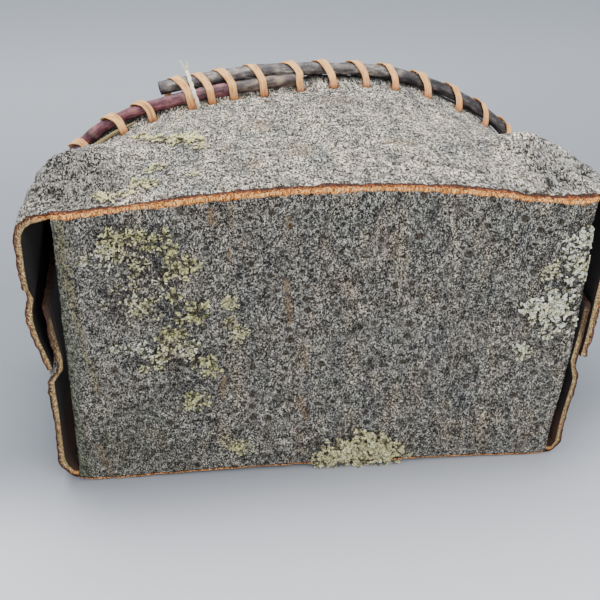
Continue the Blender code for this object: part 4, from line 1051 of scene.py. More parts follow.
def wrap(g):
    while g > LEN_R:
        g -= MOUTH_LEN
    while g < -LEN_L:
        g += MOUTH_LEN
    return g


def mouth_np(g, out, back):
    """A point at g along the mouth, out from the bark's face and past its edge, and the outward normal."""
    g = wrap(g)
    side = 1 if g >= 0 else -1
    p, n = ring(side, np.array([abs(g)]), DEPTH)
    return np.array([p[0, 0] + n[0, 0] * out, DEPTH + back, p[0, 1] + n[0, 1] * out]), np.array([n[0, 0], 0.0, n[0, 1]])


def mouth_along(g):
    a, b = mouth_np(g - 1 * MM, 0, 0)[0], mouth_np(g + 1 * MM, 0, 0)[0]
    return (b - a) / np.linalg.norm(b - a)


def bark_depths(g):
    g = wrap(g)
    side = 1 if g >= 0 else -1
    s_low = half_length(side, DEPTH) - abs(g)
    upper = abs(g) <= (WALL_A_R if side > 0 else WALL_A_L) + 1 * MM
    lower = s_low <= (WALL_B_R if side > 0 else WALL_B_L) + 1 * MM
    inner = outer = 0.0
    if lower:
        step = float(lap(side, s_low, DEPTH))
        inner = step + BARK_T
        outer = 0.0 if upper else step
    if upper:
        inner = max(inner, BARK_T)
    return outer, inner


def rod_path(g):
    keys = ROD_UPPER
    if g > MOUTH_LEN / 2:
        g, keys = g - MOUTH_LEN, ROD_LOWER
    at = g / MM
    if at <= keys[0][0]:
        return keys[0][1] * MM, keys[0][2] * MM
    for (a, o0, b0), (b, o1, b1) in zip(keys, keys[1:]):
        if at <= b:
            t = 0.5 * (at - a) / (b - a) + 0.5 * float(smooth((at - a) / (b - a)))
            return (o0 + (o1 - o0) * t) * MM, (b0 + (b1 - b0) * t) * MM
    return keys[-1][1] * MM, keys[-1][2] * MM


def rods_at(g):
    g = wrap(g)
    passes = []
    if g >= ROD_START - 3 * MM:
        passes.append(rod_path(g))
    if g < ROD_OVERLAP_END + 3 * MM:
        passes.append(rod_path(g + MOUTH_LEN))
    return passes


def hull(points):
    pts = sorted(set((round(a, 8), round(b, 8)) for a, b in points))

    def half(seq):
        out = []
        for p in seq:
            while len(out) > 1 and (out[-1][0] - out[-2][0]) * (p[1] - out[-2][1]) - (out[-1][1] - out[-2][1]) * (p[0] - out[-2][0]) <= 0:
                out.pop()
            out.append(p)
        return out

    low, up = half(pts), half(pts[::-1])
    return low[:-1] + up[:-1]


def disc(c, r, n=20):
    return [(c[0] + r * math.cos(2 * math.pi * k / n), c[1] + r * math.sin(2 * math.pi * k / n)) for k in range(n)]


def loop_around(g, half_thick, turn=1.25 * MM, steps=18, over=0.0, reach=13 * MM):
    near = [bark_depths(g + 2 * MM - (reach + 5 * MM) * k / 12) for k in range(13)]
    outer, inner = min(o for o, _ in near), max(i for _, i in near)
    clear, edge = half_thick + STRAP_CLEAR, half_thick + BARK_CLEAR
    lip = -HOLE_BACK + HOLE_H / 2
    pts = disc((-outer, lip), turn) + disc((-inner, lip), turn + 0.3 * MM)
    past = float(edge_past(wrap(g))) * 0.9
    pts += disc((-outer, past), edge) + disc((-inner - over, past), edge) + disc((-inner - over, -6 * MM), edge)
    for along in (1 * MM, 5 * MM, 9 * MM):
        for c in rods_at(g - along):
            pts += disc(c, ROD_R * 1.03 + clear)
            pts += disc((c[0], c[1] + over), ROD_R * 1.03 + clear)
    if wrap(SPLINT_TO) - 4 * MM <= wrap(g) <= SPLINT_FROM + 8 * MM:
        pts += disc((SPLINT_OFF, SPLINT_BACK), SPLINT_R + clear)
    ring_ = hull(pts)
    k0 = min(range(len(ring_)), key=lambda k: (ring_[k][0] - (-outer + 0.2 * turn)) ** 2 + (ring_[k][1] - (lip - turn)) ** 2)
    ring_ = ring_[k0:] + ring_[:k0]
    if ring_[1][0] < ring_[0][0]:
        ring_ = [ring_[0]] + ring_[1:][::-1]
    k1 = min(range(len(ring_)), key=lambda k: (ring_[k][0] - (-inner - 0.2 * turn)) ** 2 + (ring_[k][1] - (lip - turn)) ** 2)
    ring_ = np.array(ring_[: k1 + 1])
    d = np.linalg.norm(np.diff(ring_, axis=0), axis=1)
    head = np.unwrap(np.arctan2(np.diff(ring_, axis=0)[:, 1], np.diff(ring_, axis=0)[:, 0]))
    cost = np.concatenate([[0], np.cumsum(d / (9 * MM) + np.concatenate([[0], np.abs(np.diff(head)) / 0.9]))])
    at = np.linspace(0, cost[-1], steps)
    return [(float(np.interp(t, cost, ring_[:, 0])), float(np.interp(t, cost, ring_[:, 1]))) for t in at]


def hole_places():
    places = []
    for x in HOLES_TOP_X:
        side = 1 if x > 0 else -1
        pts, d = cached(side, DEPTH)
        upper = pts[: np.argmax(np.abs(pts[:, 0] - MOUTH_X0))]
        places.append(side * float(d[int(np.argmin(np.abs(upper[:, 0] - x * MM)))]))
    first, last = places[0], places[-1]
    rest = MOUTH_LEN - (last - first)
    n = round(rest / HOLE_PITCH)
    out = []
    for i, g in enumerate([last + rest * i / n for i in range(1, n)]):
        g += 1.4 * MM * math.sin(i * 2.3 + 0.5)
        for edge in (WALL_A_R, half_length(1, DEPTH) - WALL_B_R, MOUTH_LEN - WALL_A_L, MOUTH_LEN - (half_length(-1, DEPTH) - WALL_B_L)):
            if abs(g - edge) < 6.5 * MM:
                g = edge + (6.5 * MM if g > edge else -6.5 * MM)
        out.append(g)
    return places + out


HOLES = hole_places()


def strand_points(holes, first, count):
    """(g, out, back, reddened) along a strand, from the hole `first` leftwards."""
    line = []
    g0 = holes[first]
    inner = bark_depths(g0)[1]
    lip = -HOLE_BACK + HOLE_H / 2
    for back, out in ((-17.0, 1.7), (-13.5, 1.5), (-11.4, 1.45)):
        line.append((g0 + 0.2 * MM, -inner - out * MM, back * MM, 0.3))
    line.append((g0, -inner - 0.9 * MM, -HOLE_BACK - 0.2 * MM, 0.6))
    for k in range(count):
        g0, g1 = holes[first - k], holes[first - k - 1]
        in0 = bark_depths(g0)[1]
        loop = loop_around(g0, STRAP_T / 2, reach=g0 - g1)
        lens = np.concatenate([[0], np.cumsum(np.linalg.norm(np.diff(np.array(loop), axis=0), axis=1))])
        top = int(np.argmax([a + 0.6 * b for a, b in loop]))
        lean = min(STRAP_LEAN, 0.62 * (g0 - g1))
        line.append((g0, -(bark_depths(g0)[0] + in0) / 2, lip - 1.25 * MM, 1.0))
        for j, (out, back) in enumerate(loop):
            if j <= top:
                g = g0 - lean * max(0.0, (lens[j] - lens[1]) / (lens[top] - lens[1])) ** 1.9
            else:
                t = (lens[j] - lens[top]) / (lens[-2] - lens[top])
                g = g0 - lean - (g0 - g1 - lean) * min(1.0, t)
            red = float(smooth((5.5 * MM - min(lens[j], 1.4 * (lens[-1] - lens[j]))) / (4.5 * MM)))
            line.append((g, out, back, red))
        if k == count - 1:
            while line and line[-1][2] < -4 * MM:
                line.pop()
    return line


def spline(points, per=4):
    """Catmull-Rom through rows of numbers."""
    p = np.asarray(points, float)
    q = np.concatenate([2 * p[:1] - p[1:2], p, 2 * p[-1:] - p[-2:-1]])
    out = []
    for i in range(1, len(q) - 2):
        for t in np.arange(per) / per:
            a, b, c, d = q[i - 1], q[i], q[i + 1], q[i + 2]
            out.append(0.5 * ((2 * b) + (c - a) * t + (2 * a - 5 * b + 4 * c - d) * t ** 2 + (3 * b - a - 3 * c + d) * t ** 3))
    out.append(p[-1])
    return np.array(out)


SPLIT_G = HOLES[2] + MOUTH_LEN  # one turn is split down its middle


def build_strand(name, holes, first, count, mat, seed):
    line = strand_points(holes, first, count)
    raw = [np.concatenate([mouth_np(g, o, b)[0], [g, red]]) for g, o, b, red in line]
    s = spline(raw, 3)
    pts = s[:, :3]
    n = len(pts)
    tan = np.gradient(pts, axis=0)
    tan /= np.linalg.norm(tan, axis=1, keepdims=True)
    along = np.concatenate([[0], np.cumsum(np.linalg.norm(np.diff(pts, axis=0), axis=1))]) / MM
    rng = np.random.default_rng(seed)
    shift = rng.random() * 100
    verts, a_along, a_edge, a_end = [], [], [], []
    m = 12
    for i in range(n):
        ax = mouth_along(float(s[i, 3]))
        w = ax - tan[i] * (ax @ tan[i])
        w /= max(1e-9, np.linalg.norm(w))
        f = np.cross(tan[i], w)
        width = STRAP_W * (1.14 + 0.15 * noise(np.array([along[i] / 26 + shift]), np.array([0.5]), seed)[0] + 0.05 * noise(np.array([along[i] / 4 + shift]), np.array([1.5]), seed)[0])
        end = min(1.0, 0.35 + i / 6, 0.35 + (n - 1 - i) / 6)
        roll = 0.10 * noise(np.array([along[i] / 17 + shift]), np.array([4.5]), seed)[0]
        for k in range(m):
            a = 2 * math.pi * k / m
            ca, sa = math.cos(a), math.sin(a)
            x = math.copysign(abs(ca) ** 0.8, ca) * width / 2 * end
            y = math.copysign(abs(sa) ** 0.9, sa) * STRAP_T / 2 * (1.18 if sa * 1 > 0 else 1.0)
            groove = 0.10 * MM * noise(np.array([along[i] / 7 + shift]), np.array([k * 1.37]), seed + 3)[0]
            cup = -0.22 * MM * (x / (STRAP_W / 2)) ** 2
            verts.append(pts[i] + w * (x * math.cos(roll)) + f * (y + groove + cup + x * math.sin(roll)))
            a_along.append((along[i] + shift * 9, ca, seed))
            split = math.exp(-((s[i, 3] - SPLIT_G) / (8 * MM)) ** 2) * math.exp(-(ca / 0.3) ** 2)
            a_edge.append(max(abs(ca) ** 4, 1.9 * split))
            a_end.append(s[i, 4])
    faces = []
    for i in range(n - 1):
        for k in range(m):
            faces.append((i * m + k, i * m + (k + 1) % m, (i + 1) * m + (k + 1) % m, (i + 1) * m + k))
    faces.append(tuple(range(m))[::-1])
    faces.append(tuple((n - 1) * m + k for k in range(m)))
    obj = mesh_from(name, verts, faces, [mat], None, {"along": np.array(a_along), "edge": np.array(a_edge), "root_end": np.array(a_end)})
    face_out(obj)
    return obj


def tube(name, pts, radii, mat, sides=20, attrs=None, flat=1.0, caps=True, up=None):
    """A round tube with its rings square to the path; attrs(i, k) gives each vertex's values."""
    pts = np.asarray(pts, float)
    tan = np.gradient(pts, axis=0)
    tan /= np.maximum(np.linalg.norm(tan, axis=1, keepdims=True), 1e-12)
    ref = np.array([0.0, 1.0, 0.0]) if up is None else np.asarray(up, float)
    if up is None and abs(tan[0] @ ref) > 0.9:
        ref = np.array([1.0, 0.0, 0.0])
    verts, vals = [], {}
    length = np.concatenate([[0], np.cumsum(np.linalg.norm(np.diff(pts, axis=0), axis=1))])
    for i, p in enumerate(pts):
        w = ref - tan[i] * (ref @ tan[i])
        w /= np.linalg.norm(w)
        if up is None:
            ref = w
        f = np.cross(tan[i], w)
        for k in range(sides):
            a = 2 * math.pi * k / sides
            r = radii(i, k, length[i]) if callable(radii) else radii[i]
            verts.append(p + (w * math.cos(a) * flat + f * math.sin(a)) * r)
            for key, v in (attrs(i, k, length[i]) if attrs else {"along": (length[i] / 0.01, math.sin(a), 0)}).items():
                vals.setdefault(key, []).append(v)
    n = len(pts)
    faces = [(i * sides + k, i * sides + (k + 1) % sides, (i + 1) * sides + (k + 1) % sides, (i + 1) * sides + k) for i in range(n - 1) for k in range(sides)]
    if caps:
        faces += [tuple(range(sides))[::-1], tuple((n - 1) * sides + k for k in range(sides))]
    obj = mesh_from(name, verts, faces, [mat], None, {k: np.array(v) for k, v in vals.items()})
    face_out(obj)
    return obj


def build_rod(mat):
    start, end = ROD_START, MOUTH_LEN + ROD_OVERLAP_END
    n = 620
    gs = np.linspace(start, end, n + 1)
    pts = [mouth_np(g, *rod_path(g))[0] for g in gs]
    # a slanted saw cut at each end: rings that shrink on nearly the same spot
    inset = 5
    head = [pts[0]] * inset
    tail = [pts[-1]] * inset
    tan0, tan1 = pts[1] - pts[0], pts[-1] - pts[-2]
    tan0, tan1 = tan0 / np.linalg.norm(tan0), tan1 / np.linalg.norm(tan1)
    path = [p - tan0 * (0.45 * MM * (inset - i) / inset) for i, p in enumerate(head)] + pts + [p + tan1 * (0.45 * MM * (i + 1) / inset) for i, p in enumerate(tail)]
    total = len(path)
    buds = [(-26, 0.55), (-10, 0.5), (17, 0.3), (118, 0.45), (154, 0.4), (246, 0.5), (372, 0.5), (505, 0.5), (610, 0.45), (700, 0.4), (MOUTH_LEN / MM - 70, 0.4), (MOUTH_LEN / MM - 24, 0.55)]
    g_all = np.concatenate([[start] * inset, gs, [end] * inset]) / MM
    shrink = [(i + 0.35) / inset for i in range(inset)]

    def radius(i, k, at):
        g = g_all[i]
        both = max(float(smooth((30 - g) / 40)), float(smooth((g - MOUTH_LEN / MM + 110) / 30)))
        r = ROD_R / MM * (1 - 0.05 * float(smooth((g - 100) / 200)) + 0.02 * math.sin(g * 0.21)) + 0.45 * both
        a = 2 * math.pi * k / 20
        for place, rise in buds:
            r += rise * math.exp(-((g - place) / 2.6) ** 2) * (0.65 + 0.35 * math.cos(a - place))
        r += 0.16 * noise(np.array([g / 16]), np.array([math.cos(a) * 1.6 + 5]), 5)[0] + 0.10 * noise(np.array([g / 30 + 4]), np.array([math.sin(a) * 3.1 + 9]), 6)[0]
        if i < inset:
            r *= 0.96 * shrink[i]
        elif i >= total - inset:
            r *= 0.96 * shrink[total - 1 - i]
        tail_in = g_all[-1] - g
        r *= 0.86 + 0.14 * min(1.0, tail_in / 9)
        return r * MM

    def values(i, k, at):
        g = g_all[i]
        lap_in = g - MOUTH_LEN / MM
        # grey-purple at the start, near black along the top right, wine red before the overlap, brown at its end
        if g < 150:
            age = 0.0 - 1.0 * float(smooth((g - 25) / 80))
        elif lap_in < -45:
            age = -1.0 + 2.0 * float(smooth((lap_in + 250) / 90))
        else:
            age = 1.0 + 1.0 * float(smooth((lap_in + 52) / 22))
        bud = max(0.0, max(math.exp(-((g - p) / 1.7) ** 2) for p, _ in buds) - 0.25) * 1.0
        end_i = i < inset or i >= total - inset
        core = (i < 2 or i >= total - 2)
        a = 2 * math.pi * k / 20
        return {"along": (g / 10, math.sin(a) * 0.4, math.cos(a) * 0.4), "age": age, "bud": min(0.8, bud) * 0.45 * max(0.0, math.cos(math.atan2(math.sin(a - g), math.cos(a - g)))), "cut": 1.0 if end_i else 0.0, "pith": 1.0 if core else 0.0}

    return tube("hoop_rod", path, radius, mat, 20, values)


def build_splint(mat):
    n = 90
    gs = [SPLINT_FROM + (SPLINT_TO - SPLINT_FROM) * i / n for i in range(n + 1)]
    pts = [mouth_np(g, SPLINT_OFF + 0.15 * MM * math.sin(g * 160), SPLINT_BACK + 0.2 * MM * math.sin(g * 90 + 1))[0] for g in gs]
    radius = lambda i, k, at: SPLINT_R * 1.15 * (0.5 + 0.5 * float(smooth(min(i, n - i) / 9))) * (1 + 0.10 * math.sin(i * 0.7 + k) + (0.22 if k % 3 == 0 else 0))
    return tube("splint", pts, radius, mat, 10)


def tie_place():
    pts, d = cached(-1, DEPTH)
    upper = pts[: np.argmax(np.abs(pts[:, 0] - MOUTH_X0))]
    return -float(d[int(np.argmin(np.abs(upper[:, 0] - TIE_X * MM)))])


def build_tie(mat):
    g0 = tie_place()
    inner = bark_depths(g0)[1]
    loop = loop_around(g0, TIE_R, 1.35 * MM, 22, TIE_OVER)
    loop = loop + [(-inner * 0.5, loop[0][1])]
    lens = np.concatenate([[0], np.cumsum(np.linalg.norm(np.diff(np.array(loop), axis=0), axis=1))])
    top = int(np.argmax([a + 0.6 * b for a, b in loop]))
    base = []
    for j, (out, back) in enumerate(loop):
        t = lens[j] / lens[top] if j <= top else 1 - (lens[j] - lens[top]) / (lens[-2] - lens[top])
        base.append(mouth_np(g0 - TIE_LEAN * max(0.0, min(1.0, t)), out, back)[0])
    base.append(base[0])
    core = spline(base, 5)
    pieces = []
    # three yarns laid round each other, then a spray of loose ends at the top
    tan = np.gradient(core, axis=0)
    tan /= np.linalg.norm(tan, axis=1, keepdims=True)
    length = np.concatenate([[0], np.cumsum(np.linalg.norm(np.diff(core, axis=0), axis=1))])
    for y in range(3):
        path = []
        for i, p in enumerate(core):
            w = np.cross(tan[i], [0.3, 0.9, 0.2])
            w /= np.linalg.norm(w)
            f = np.cross(tan[i], w)
            a = length[i] / (2.4 * MM) + y * 2.1
            path.append(p + (w * math.cos(a) + f * math.sin(a)) * 0.62 * MM)
        pieces.append(tube("tie_yarn_%d" % y, path, lambda i, k, at: 0.78 * MM * (1 + 0.12 * math.sin(i * 1.3 + k)), mat, 8))
    # sits where the tie crosses the upper rod
    crest = core[int(np.argmax(core[:, 2] + 0.3 * core[:, 1]))]
    rng = np.random.default_rng(12)
    for y in range(16):
        d = np.array([-0.25 + 0.9 * (rng.random() - 0.5), 0.1 + 0.8 * (rng.random() - 0.5), 1.0])
        d /= np.linalg.norm(d)
        side = np.array([rng.random() - 0.5, rng.random() - 0.5, 0.1])
        long = (3.0 + 4.5 * rng.random()) * MM
        path = [crest + d * long * t + side * (long * 0.7 * t * t) for t in np.linspace(0, 1, 9)]
        pieces.append(tube("tie_fray_%d" % y, path, lambda i, k, at: (0.34 - 0.028 * i) * MM, mat, 5))
    return pieces


# ------------------------------------------------------------------ lichens
class Surface:
    """Looks up the displaced bark by fractional grid place."""

    def __init__(self, P, N, px, seen):
        self.P, self.N, self.px, self.seen = P, N, px, seen

    def find(self, x, y):
        d = np.hypot(self.px[..., 0] - x, self.px[..., 1] - y) + np.where(self.seen, 0, 1e6)
        k = int(np.argmin(d))
        r, c = divmod(k, d.shape[1])
        return float(r), float(c), float(d[r, c])

    def metric(self, r, c):
        r0, c0 = int(min(max(r, 1), self.P.shape[0] - 2)), int(min(max(c, 1), self.P.shape[1] - 2))
        dc = np.linalg.norm(self.P[r0, c0 + 1] - self.P[r0, c0 - 1]) / 2
        dr = np.linalg.norm(self.P[r0 + 1, c0] - self.P[r0 - 1, c0]) / 2
        return dr, dc

    def at(self, r, c, h):
        R, C = self.P.shape[0] - 1.001, self.P.shape[1] - 1.001
        over_r = np.where(r > R, r - R, np.where(r < 0, r, 0))
        over_c = np.where(c > C, c - C, np.where(c < 0, c, 0))
        rr, cc = np.clip(r, 0, R), np.clip(c, 0, C)
        r0, c0 = rr.astype(int), cc.astype(int)
        fr, fc = (rr - r0)[..., None], (cc - c0)[..., None]
        g = lambda M: (M[r0, c0] * (1 - fc) + M[r0, c0 + 1] * fc) * (1 - fr) + (M[r0 + 1, c0] * (1 - fc) + M[r0 + 1, c0 + 1] * fc) * fr
        p, n = g(self.P), g(self.N)
        dr, dc = g(self.P[1:, :][np.minimum(np.arange(self.P.shape[0]), self.P.shape[0] - 2)] - self.P[:-1, :][np.minimum(np.arange(self.P.shape[0]), self.P.shape[0] - 2)]), None
        p = p + dr * over_r[..., None]
        n = n / np.linalg.norm(n, axis=-1, keepdims=True)
        return p + n * h[..., None]


def lobe_strips(rng, radius, lobes, width, depth=0):
    """Branching flat lobes from a centre: a list of (points, widths) in mm on the plane."""
    strips = []
    spin = rng.random() * 2 * math.pi

    def grow(x, y, heading, length, w, level):
        steps = max(3, int(length / 0.9))
        pts, ws = [(x, y)], [w * 0.75]
        for i in range(steps):
            heading += (rng.random() - 0.5) * 0.5
            x += math.cos(heading) * length / steps
            y += math.sin(heading) * length / steps
            t = (i + 1) / steps
            pts.append((x, y))
            ws.append(w * (0.75 + 0.55 * t + 0.25 * (rng.random() - 0.5)))
        split = level < 2 and rng.random() < (0.92 if level == 0 else 0.55)
        if not split:
            ws[-1] *= 0.62
        strips.append((pts, ws, level))
        if split:
            fan = 2 if rng.random() < 0.6 else 3
            for q in range(fan):
                turn = (q - (fan - 1) / 2) * (0.95 + 0.35 * rng.random())
                grow(x, y, heading + turn, length * (0.42 + 0.25 * rng.random()), w * 0.82, level + 1)

    for q in range(lobes):
        a = spin + 2 * math.pi * (q + 0.5 * (rng.random() - 0.5)) / lobes
        r0 = radius * 0.12
        grow(r0 * math.cos(a), r0 * math.sin(a), a, radius * (0.40 + 0.24 * rng.random()), width * (0.42 + 0.40 * rng.random()), 0)
    return strips


def build_lichens(surfaces, mat):
    # (surface, x, y, spread x, spread y, thalli, radius, lobe width, lobes, tone, lift) in view pixels and mm
    beds = [
        ("P", 106, 238, 20, 14, 8, (4.0, 6.5), 1.25, 6, 0.25, 0.7), ("P", 92, 258, 16, 12, 6, (3.0, 5.5), 1.2, 6, 0.75, 0.8),
        ("P", 126, 262, 18, 14, 8, (3.0, 5.0), 0.95, 6, 0.45, 0.6), ("P", 146, 240, 18, 12, 7, (4.0, 6.5), 1.25, 6, 0.12, 0.7),
        ("P", 164, 250, 9, 8, 3, (4.0, 6.0), 1.6, 5, 0.08, 0.7), ("P", 180, 266, 16, 10, 6, (5.0, 7.5), 1.7, 6, 0.06, 0.8),
        ("P", 138, 285, 26, 12, 7, (2.2, 4.0), 0.85, 5, 0.6, 0.5), ("P", 118, 305, 20, 12, 8, (2.0, 3.6), 0.8, 5, 0.7, 0.5),
        ("P", 146, 305, 16, 12, 8, (2.5, 4.5), 1.0, 6, 0.35, 0.6), ("P", 172, 298, 6, 8, 2, (4.0, 6.0), 1.6, 4, 0.05, 0.8),
        ("P", 188, 315, 14, 10, 4, (6.0, 8.5), 2.2, 5, 0.06, 0.9), ("P", 172, 330, 12, 10, 5, (4.0, 6.5), 1.6, 5, 0.1, 0.8),
        ("P", 228, 302, 9, 7, 7, (2.6, 3.8), 0.75, 8, 0.35, 0.5), ("P", 237, 328, 11, 12, 10, (2.6, 4.4), 0.75, 8, 0.40, 0.5),
        ("P", 122, 348, 7, 5, 3, (3.0, 4.2), 1.4, 6, 0.85, 0.9), ("P", 148, 347, 8, 5, 4, (3.0, 4.5), 1.6, 6, 0.95, 1.0),
        ("P", 166, 350, 14, 8, 7, (3.5, 5.5), 1.5, 6, 0.55, 1.0), ("P", 188, 352, 14, 8, 6, (4.0, 6.0), 1.7, 5, 0.65, 1.0),
        ("P", 204, 364, 16, 7, 7, (4.0, 6.5), 1.8, 5, 0.20, 0.9), ("P", 160, 368, 22, 8, 7, (2.0, 3.6), 0.9, 5, 0.45, 0.6),
        ("P", 200, 400, 11, 6, 4, (3.6, 5.4), 1.5, 5, 0.15, 0.7), ("P", 186, 405, 8, 4, 3, (2.5, 4.0), 1.2, 5, 0.35, 0.6),
        ("P", 236, 444, 15, 8, 10, (2.4, 4.0), 0.85, 6, 0.30, 0.5), ("P", 425, 297, 2, 1, 1, (1.8, 2.0), 1.0, 5, 1.0, 0.6),
        ("P", 340, 452, 22, 9, 14, (4.5, 6.5), 2.4, 6, 0.42, 1.6), ("P", 370, 442, 22, 9, 15, (4.5, 6.5), 2.4, 6, 0.42, 1.6),
        ("P", 392, 452, 18, 8, 11, (4.5, 6.5), 2.3, 6, 0.42, 1.6), ("P", 366, 460, 16, 5, 7, (4.0, 5.5), 2.2, 5, 0.40, 1.4),
        ("P", 318, 458, 10, 4, 5, (3.5, 5.0), 2.0, 5, 0.45, 1.4), ("P", 364, 463, 5, 2, 2, (4.5, 5.5), 1.6, 5, 0.3, 1.2),
        ("P", 586, 232, 8, 8, 6, (3.5, 5.0), 1.4, 6, 0.95, 0.9), ("P", 572, 250, 15, 13, 9, (3.5, 5.5), 1.4, 6, 0.90, 0.9),
        ("P", 578, 272, 11, 14, 10, (4.0, 6.0), 1.6, 6, 0.95, 1.0), ("P", 548, 270, 11, 14, 6, (3.0, 4.5), 1.2, 6, 0.60, 0.7),
        ("P", 560, 296, 18, 13, 11, (4.0, 6.5), 1.6, 6, 0.90, 1.0), ("P", 538, 306, 13, 9, 6, (4.0, 6.0), 1.7, 6, 0.92, 1.0),
        ("P", 553, 322, 18, 12, 10, (4.0, 6.5), 1.7, 6, 0.88, 1.0), ("P", 520, 350, 11, 9, 7, (3.0, 4.6), 1.1, 7, 0.80, 0.8),
        ("A", 178, 139, 22, 4, 12, (5.0, 8.5), 1.7, 6, 0.22, 1.4), ("A", 150, 137, 14, 3, 6, (4.0, 6.5), 1.5, 6, 0.25, 1.2),
        ("A", 200, 146, 8, 2, 3, (3.0, 5.0), 1.3, 5, 0.2, 1.0), ("A", 146, 184, 9, 3, 5, (4.0, 6.0), 1.6, 5, 0.28, 1.1),
        ("A", 158, 169, 7, 2, 4, (3.5, 5.0), 1.4, 5, 0.28, 1.0), ("A", 192, 174, 6, 1.5, 3, (3.0, 4.5), 1.3, 5, 0.25, 0.9),
        ("A", 104, 200, 11, 4, 8, (4.0, 6.0), 1.6, 5, 0.30, 1.1), ("A", 126, 195, 7, 2, 3, (3.0, 4.5), 1.3, 5, 0.28, 0.9),
    ]
    verts, faces, tone_v, tip_v = [], [], [], []
    rng = np.random.default_rng(20)
    for key, x, y, sx, sy, count, (ra, rb), width, lobes, tone, lift in beds:
        surf = surfaces[key]
        if key == "A":
            width *= 0.62
        elif tone > 0.55 and x > 500:
            width *= 1.35
        for _ in range(max(1, round(count * (0.62 if tone > 0.8 else 0.78)))):
            q = rng.random() * 2 * math.pi
            rad = math.sqrt(rng.random())
            r0, c0, miss = surf.find(x + sx * rad * math.cos(q), y + sy * rad * math.sin(q))
            if miss > 4:
                continue
            mr, mc = surf.metric(r0, c0)
            size = ra + (rb - ra) * rng.random()
            t_here = min(1.0, max(0.0, tone + 0.16 * (rng.random() - 0.5)))
            level0 = 0.12 + 0.25 * rng.random()
            phase = rng.random() * 6.28
            for pts, ws, level in lobe_strips(rng, size, lobes, width):
                if rng.random() < 0.24:
                    continue
                t_strip = min(1.0, max(0.0, t_here + 0.30 * (rng.random() - 0.5))) if rng.random() < 0.70 else 0.15 + 0.45 * rng.random()
                shine = (0.45 if key == "A" else 0.16) + 1.05 * rng.random()
                n = len(pts)
                base = len(verts)
                p = np.array(pts)
                t = np.gradient(p, axis=0)
                t /= np.maximum(np.linalg.norm(t, axis=1, keepdims=True), 1e-9)
                side = np.stack([-t[:, 1], t[:, 0]], axis=1)
                rows = []
                for i in range(n):
                    far = np.hypot(*p[i]) / size
                    for e in (-1.0, -0.5, 0.0, 0.5, 1.0):
                        q2 = p[i] + side[i] * (e * ws[i] / 2 * (1 + 0.22 * math.sin(i * 2.1 + e * 3 + phase)))
                        if i == n - 1:
                            q2 = q2 + t[i] * (0.32 * ws[i] * (1 - abs(e)) * (0.7 + 0.5 * math.cos(e * 6.5)))
                        rise = level0 + 0.12 + lift * (0.18 + 0.55 * far) * (0.45 + 0.55 * abs(e) ** 1.5) + 0.30 * lift * math.sin(i * 1.4 + phase + 2.2 * e) * (0.35 + 0.65 * far)
                        rows.append((r0 + q2[1] * MM / mr, c0 + q2[0] * MM / mc, max(0.10, rise) * MM, min(1.0, 0.08 + shine * far * (0.62 + 0.5 * abs(e)))))
                rows = np.array(rows)
                P3 = surf.at(rows[:, 0], rows[:, 1], rows[:, 2])
                verts.extend(P3.tolist())
                tone_v.extend([t_strip] * len(rows))
                tip_v.extend(rows[:, 3].tolist())
                for i in range(n - 1):
                    for k in range(4):
                        a = base + i * 5 + k
                        faces.append((a, a + 1, a + 6, a + 5))
    verts = np.array(verts)
    obj = mesh_from("lichens", verts, faces, [mat], None, {"tone": np.array(tone_v), "tip": np.array(tip_v)})
    skin = obj.modifiers.new("skin", "SOLIDIFY")
    skin.thickness = 0.28 * MM
    skin.offset = 0
    bpy.context.view_layer.objects.active = obj
    bpy.context.view_layer.update()
    deps = bpy.context.evaluated_depsgraph_get()
    solid = bpy.data.meshes.new_from_object(obj.evaluated_get(deps), preserve_all_data_layers=True, depsgraph=deps)
    obj.modifiers.clear()
    obj.data = solid
    return obj


# ------------------------------------------------------------------ stage
def build_floor():
    me = bpy.data.meshes.new("floor")
    s = 3.0
    me.from_pydata([(-s, -s, 0), (s, -s, 0), (s, s, 0), (-s, s, 0)], [], [(0, 1, 2, 3)])
    me.materials.append(floor_material())
    obj = bpy.data.objects.new("floor", me)
    bpy.context.scene.collection.objects.link(obj)
    obj.location.z = -0.0002


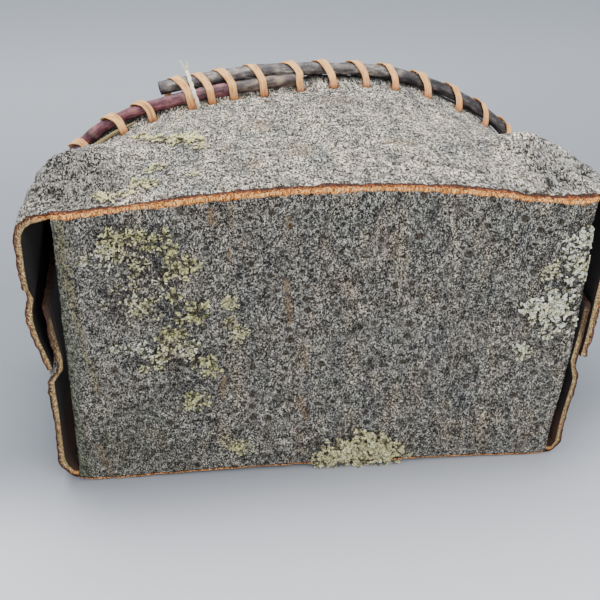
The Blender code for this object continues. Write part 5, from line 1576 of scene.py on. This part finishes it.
def area(name, place, aim, size, power, colour=(1, 1, 1)):
    lamp = bpy.data.lights.new(name, "AREA")
    lamp.shape, lamp.size = "DISK", size
    lamp.energy, lamp.color = power, colour
    obj = bpy.data.objects.new(name, lamp)
    bpy.context.scene.collection.objects.link(obj)
    obj.location = place
    obj.rotation_euler = (Vector(aim) - Vector(place)).to_track_quat("-Z", "Y").to_euler()


def light():
    world = bpy.data.worlds.new("studio")
    bpy.context.scene.world = world
    world.use_nodes = True
    bg = world.node_tree.nodes["Background"]
    bg.inputs[0].default_value = (0.80, 0.86, 0.95, 1)
    bg.inputs[1].default_value = 1.29
    area("overhead", (-0.25, 0.25, 1.5), (0, 0, 0.1), 1.1, 35, (1.0, 0.985, 0.955))
    area("front_fill", (0.35, -1.3, 1.0), (0, 0, 0.05), 1.2, 21.0, (1.0, 0.99, 0.97))


# ------------------------------------------------------------------ assembly
add_camera()
light()
build_floor()

bark, grids = build_bark([bark_material(), torn_material(), inside_material()])
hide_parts("bark_sheet")
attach(bark, "root")

surfaces = {k: Surface(*v) for k, v in grids.items()}
lichens = build_lichens(surfaces, lichen_material())
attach(lichens, "root")

rod = build_rod(rod_material())
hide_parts("rim_rod")
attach(rod, "root")

splint = build_splint(fibre_material("splint_wood", (0.095, 0.070, 0.032), (0.235, 0.180, 0.082), (0.48, 0.39, 0.20)))
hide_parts("rim_splint")
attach(splint, "root")

tie = build_tie(fibre_material("pale_fibre", (0.48, 0.42, 0.28), (0.80, 0.74, 0.56), (0.96, 0.93, 0.80)))
for piece in tie:
    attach(piece, "root")
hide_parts("pale_tie")

strap = strap_material()
doubled = HOLES + [g + MOUTH_LEN for g in HOLES]
start = len(HOLES) + 6
for k, turns in enumerate([TURNS_PER_STRAND] * 4 + [len(HOLES) - 4 * TURNS_PER_STRAND]):
    letter = "abcde"[k]
    piece = build_strand("root_strap_" + letter, doubled, start, turns, strap, 11 + k)
    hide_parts("lashing_" + letter)
    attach(piece, "root")
    start -= turns

bpy.context.view_layer.update()
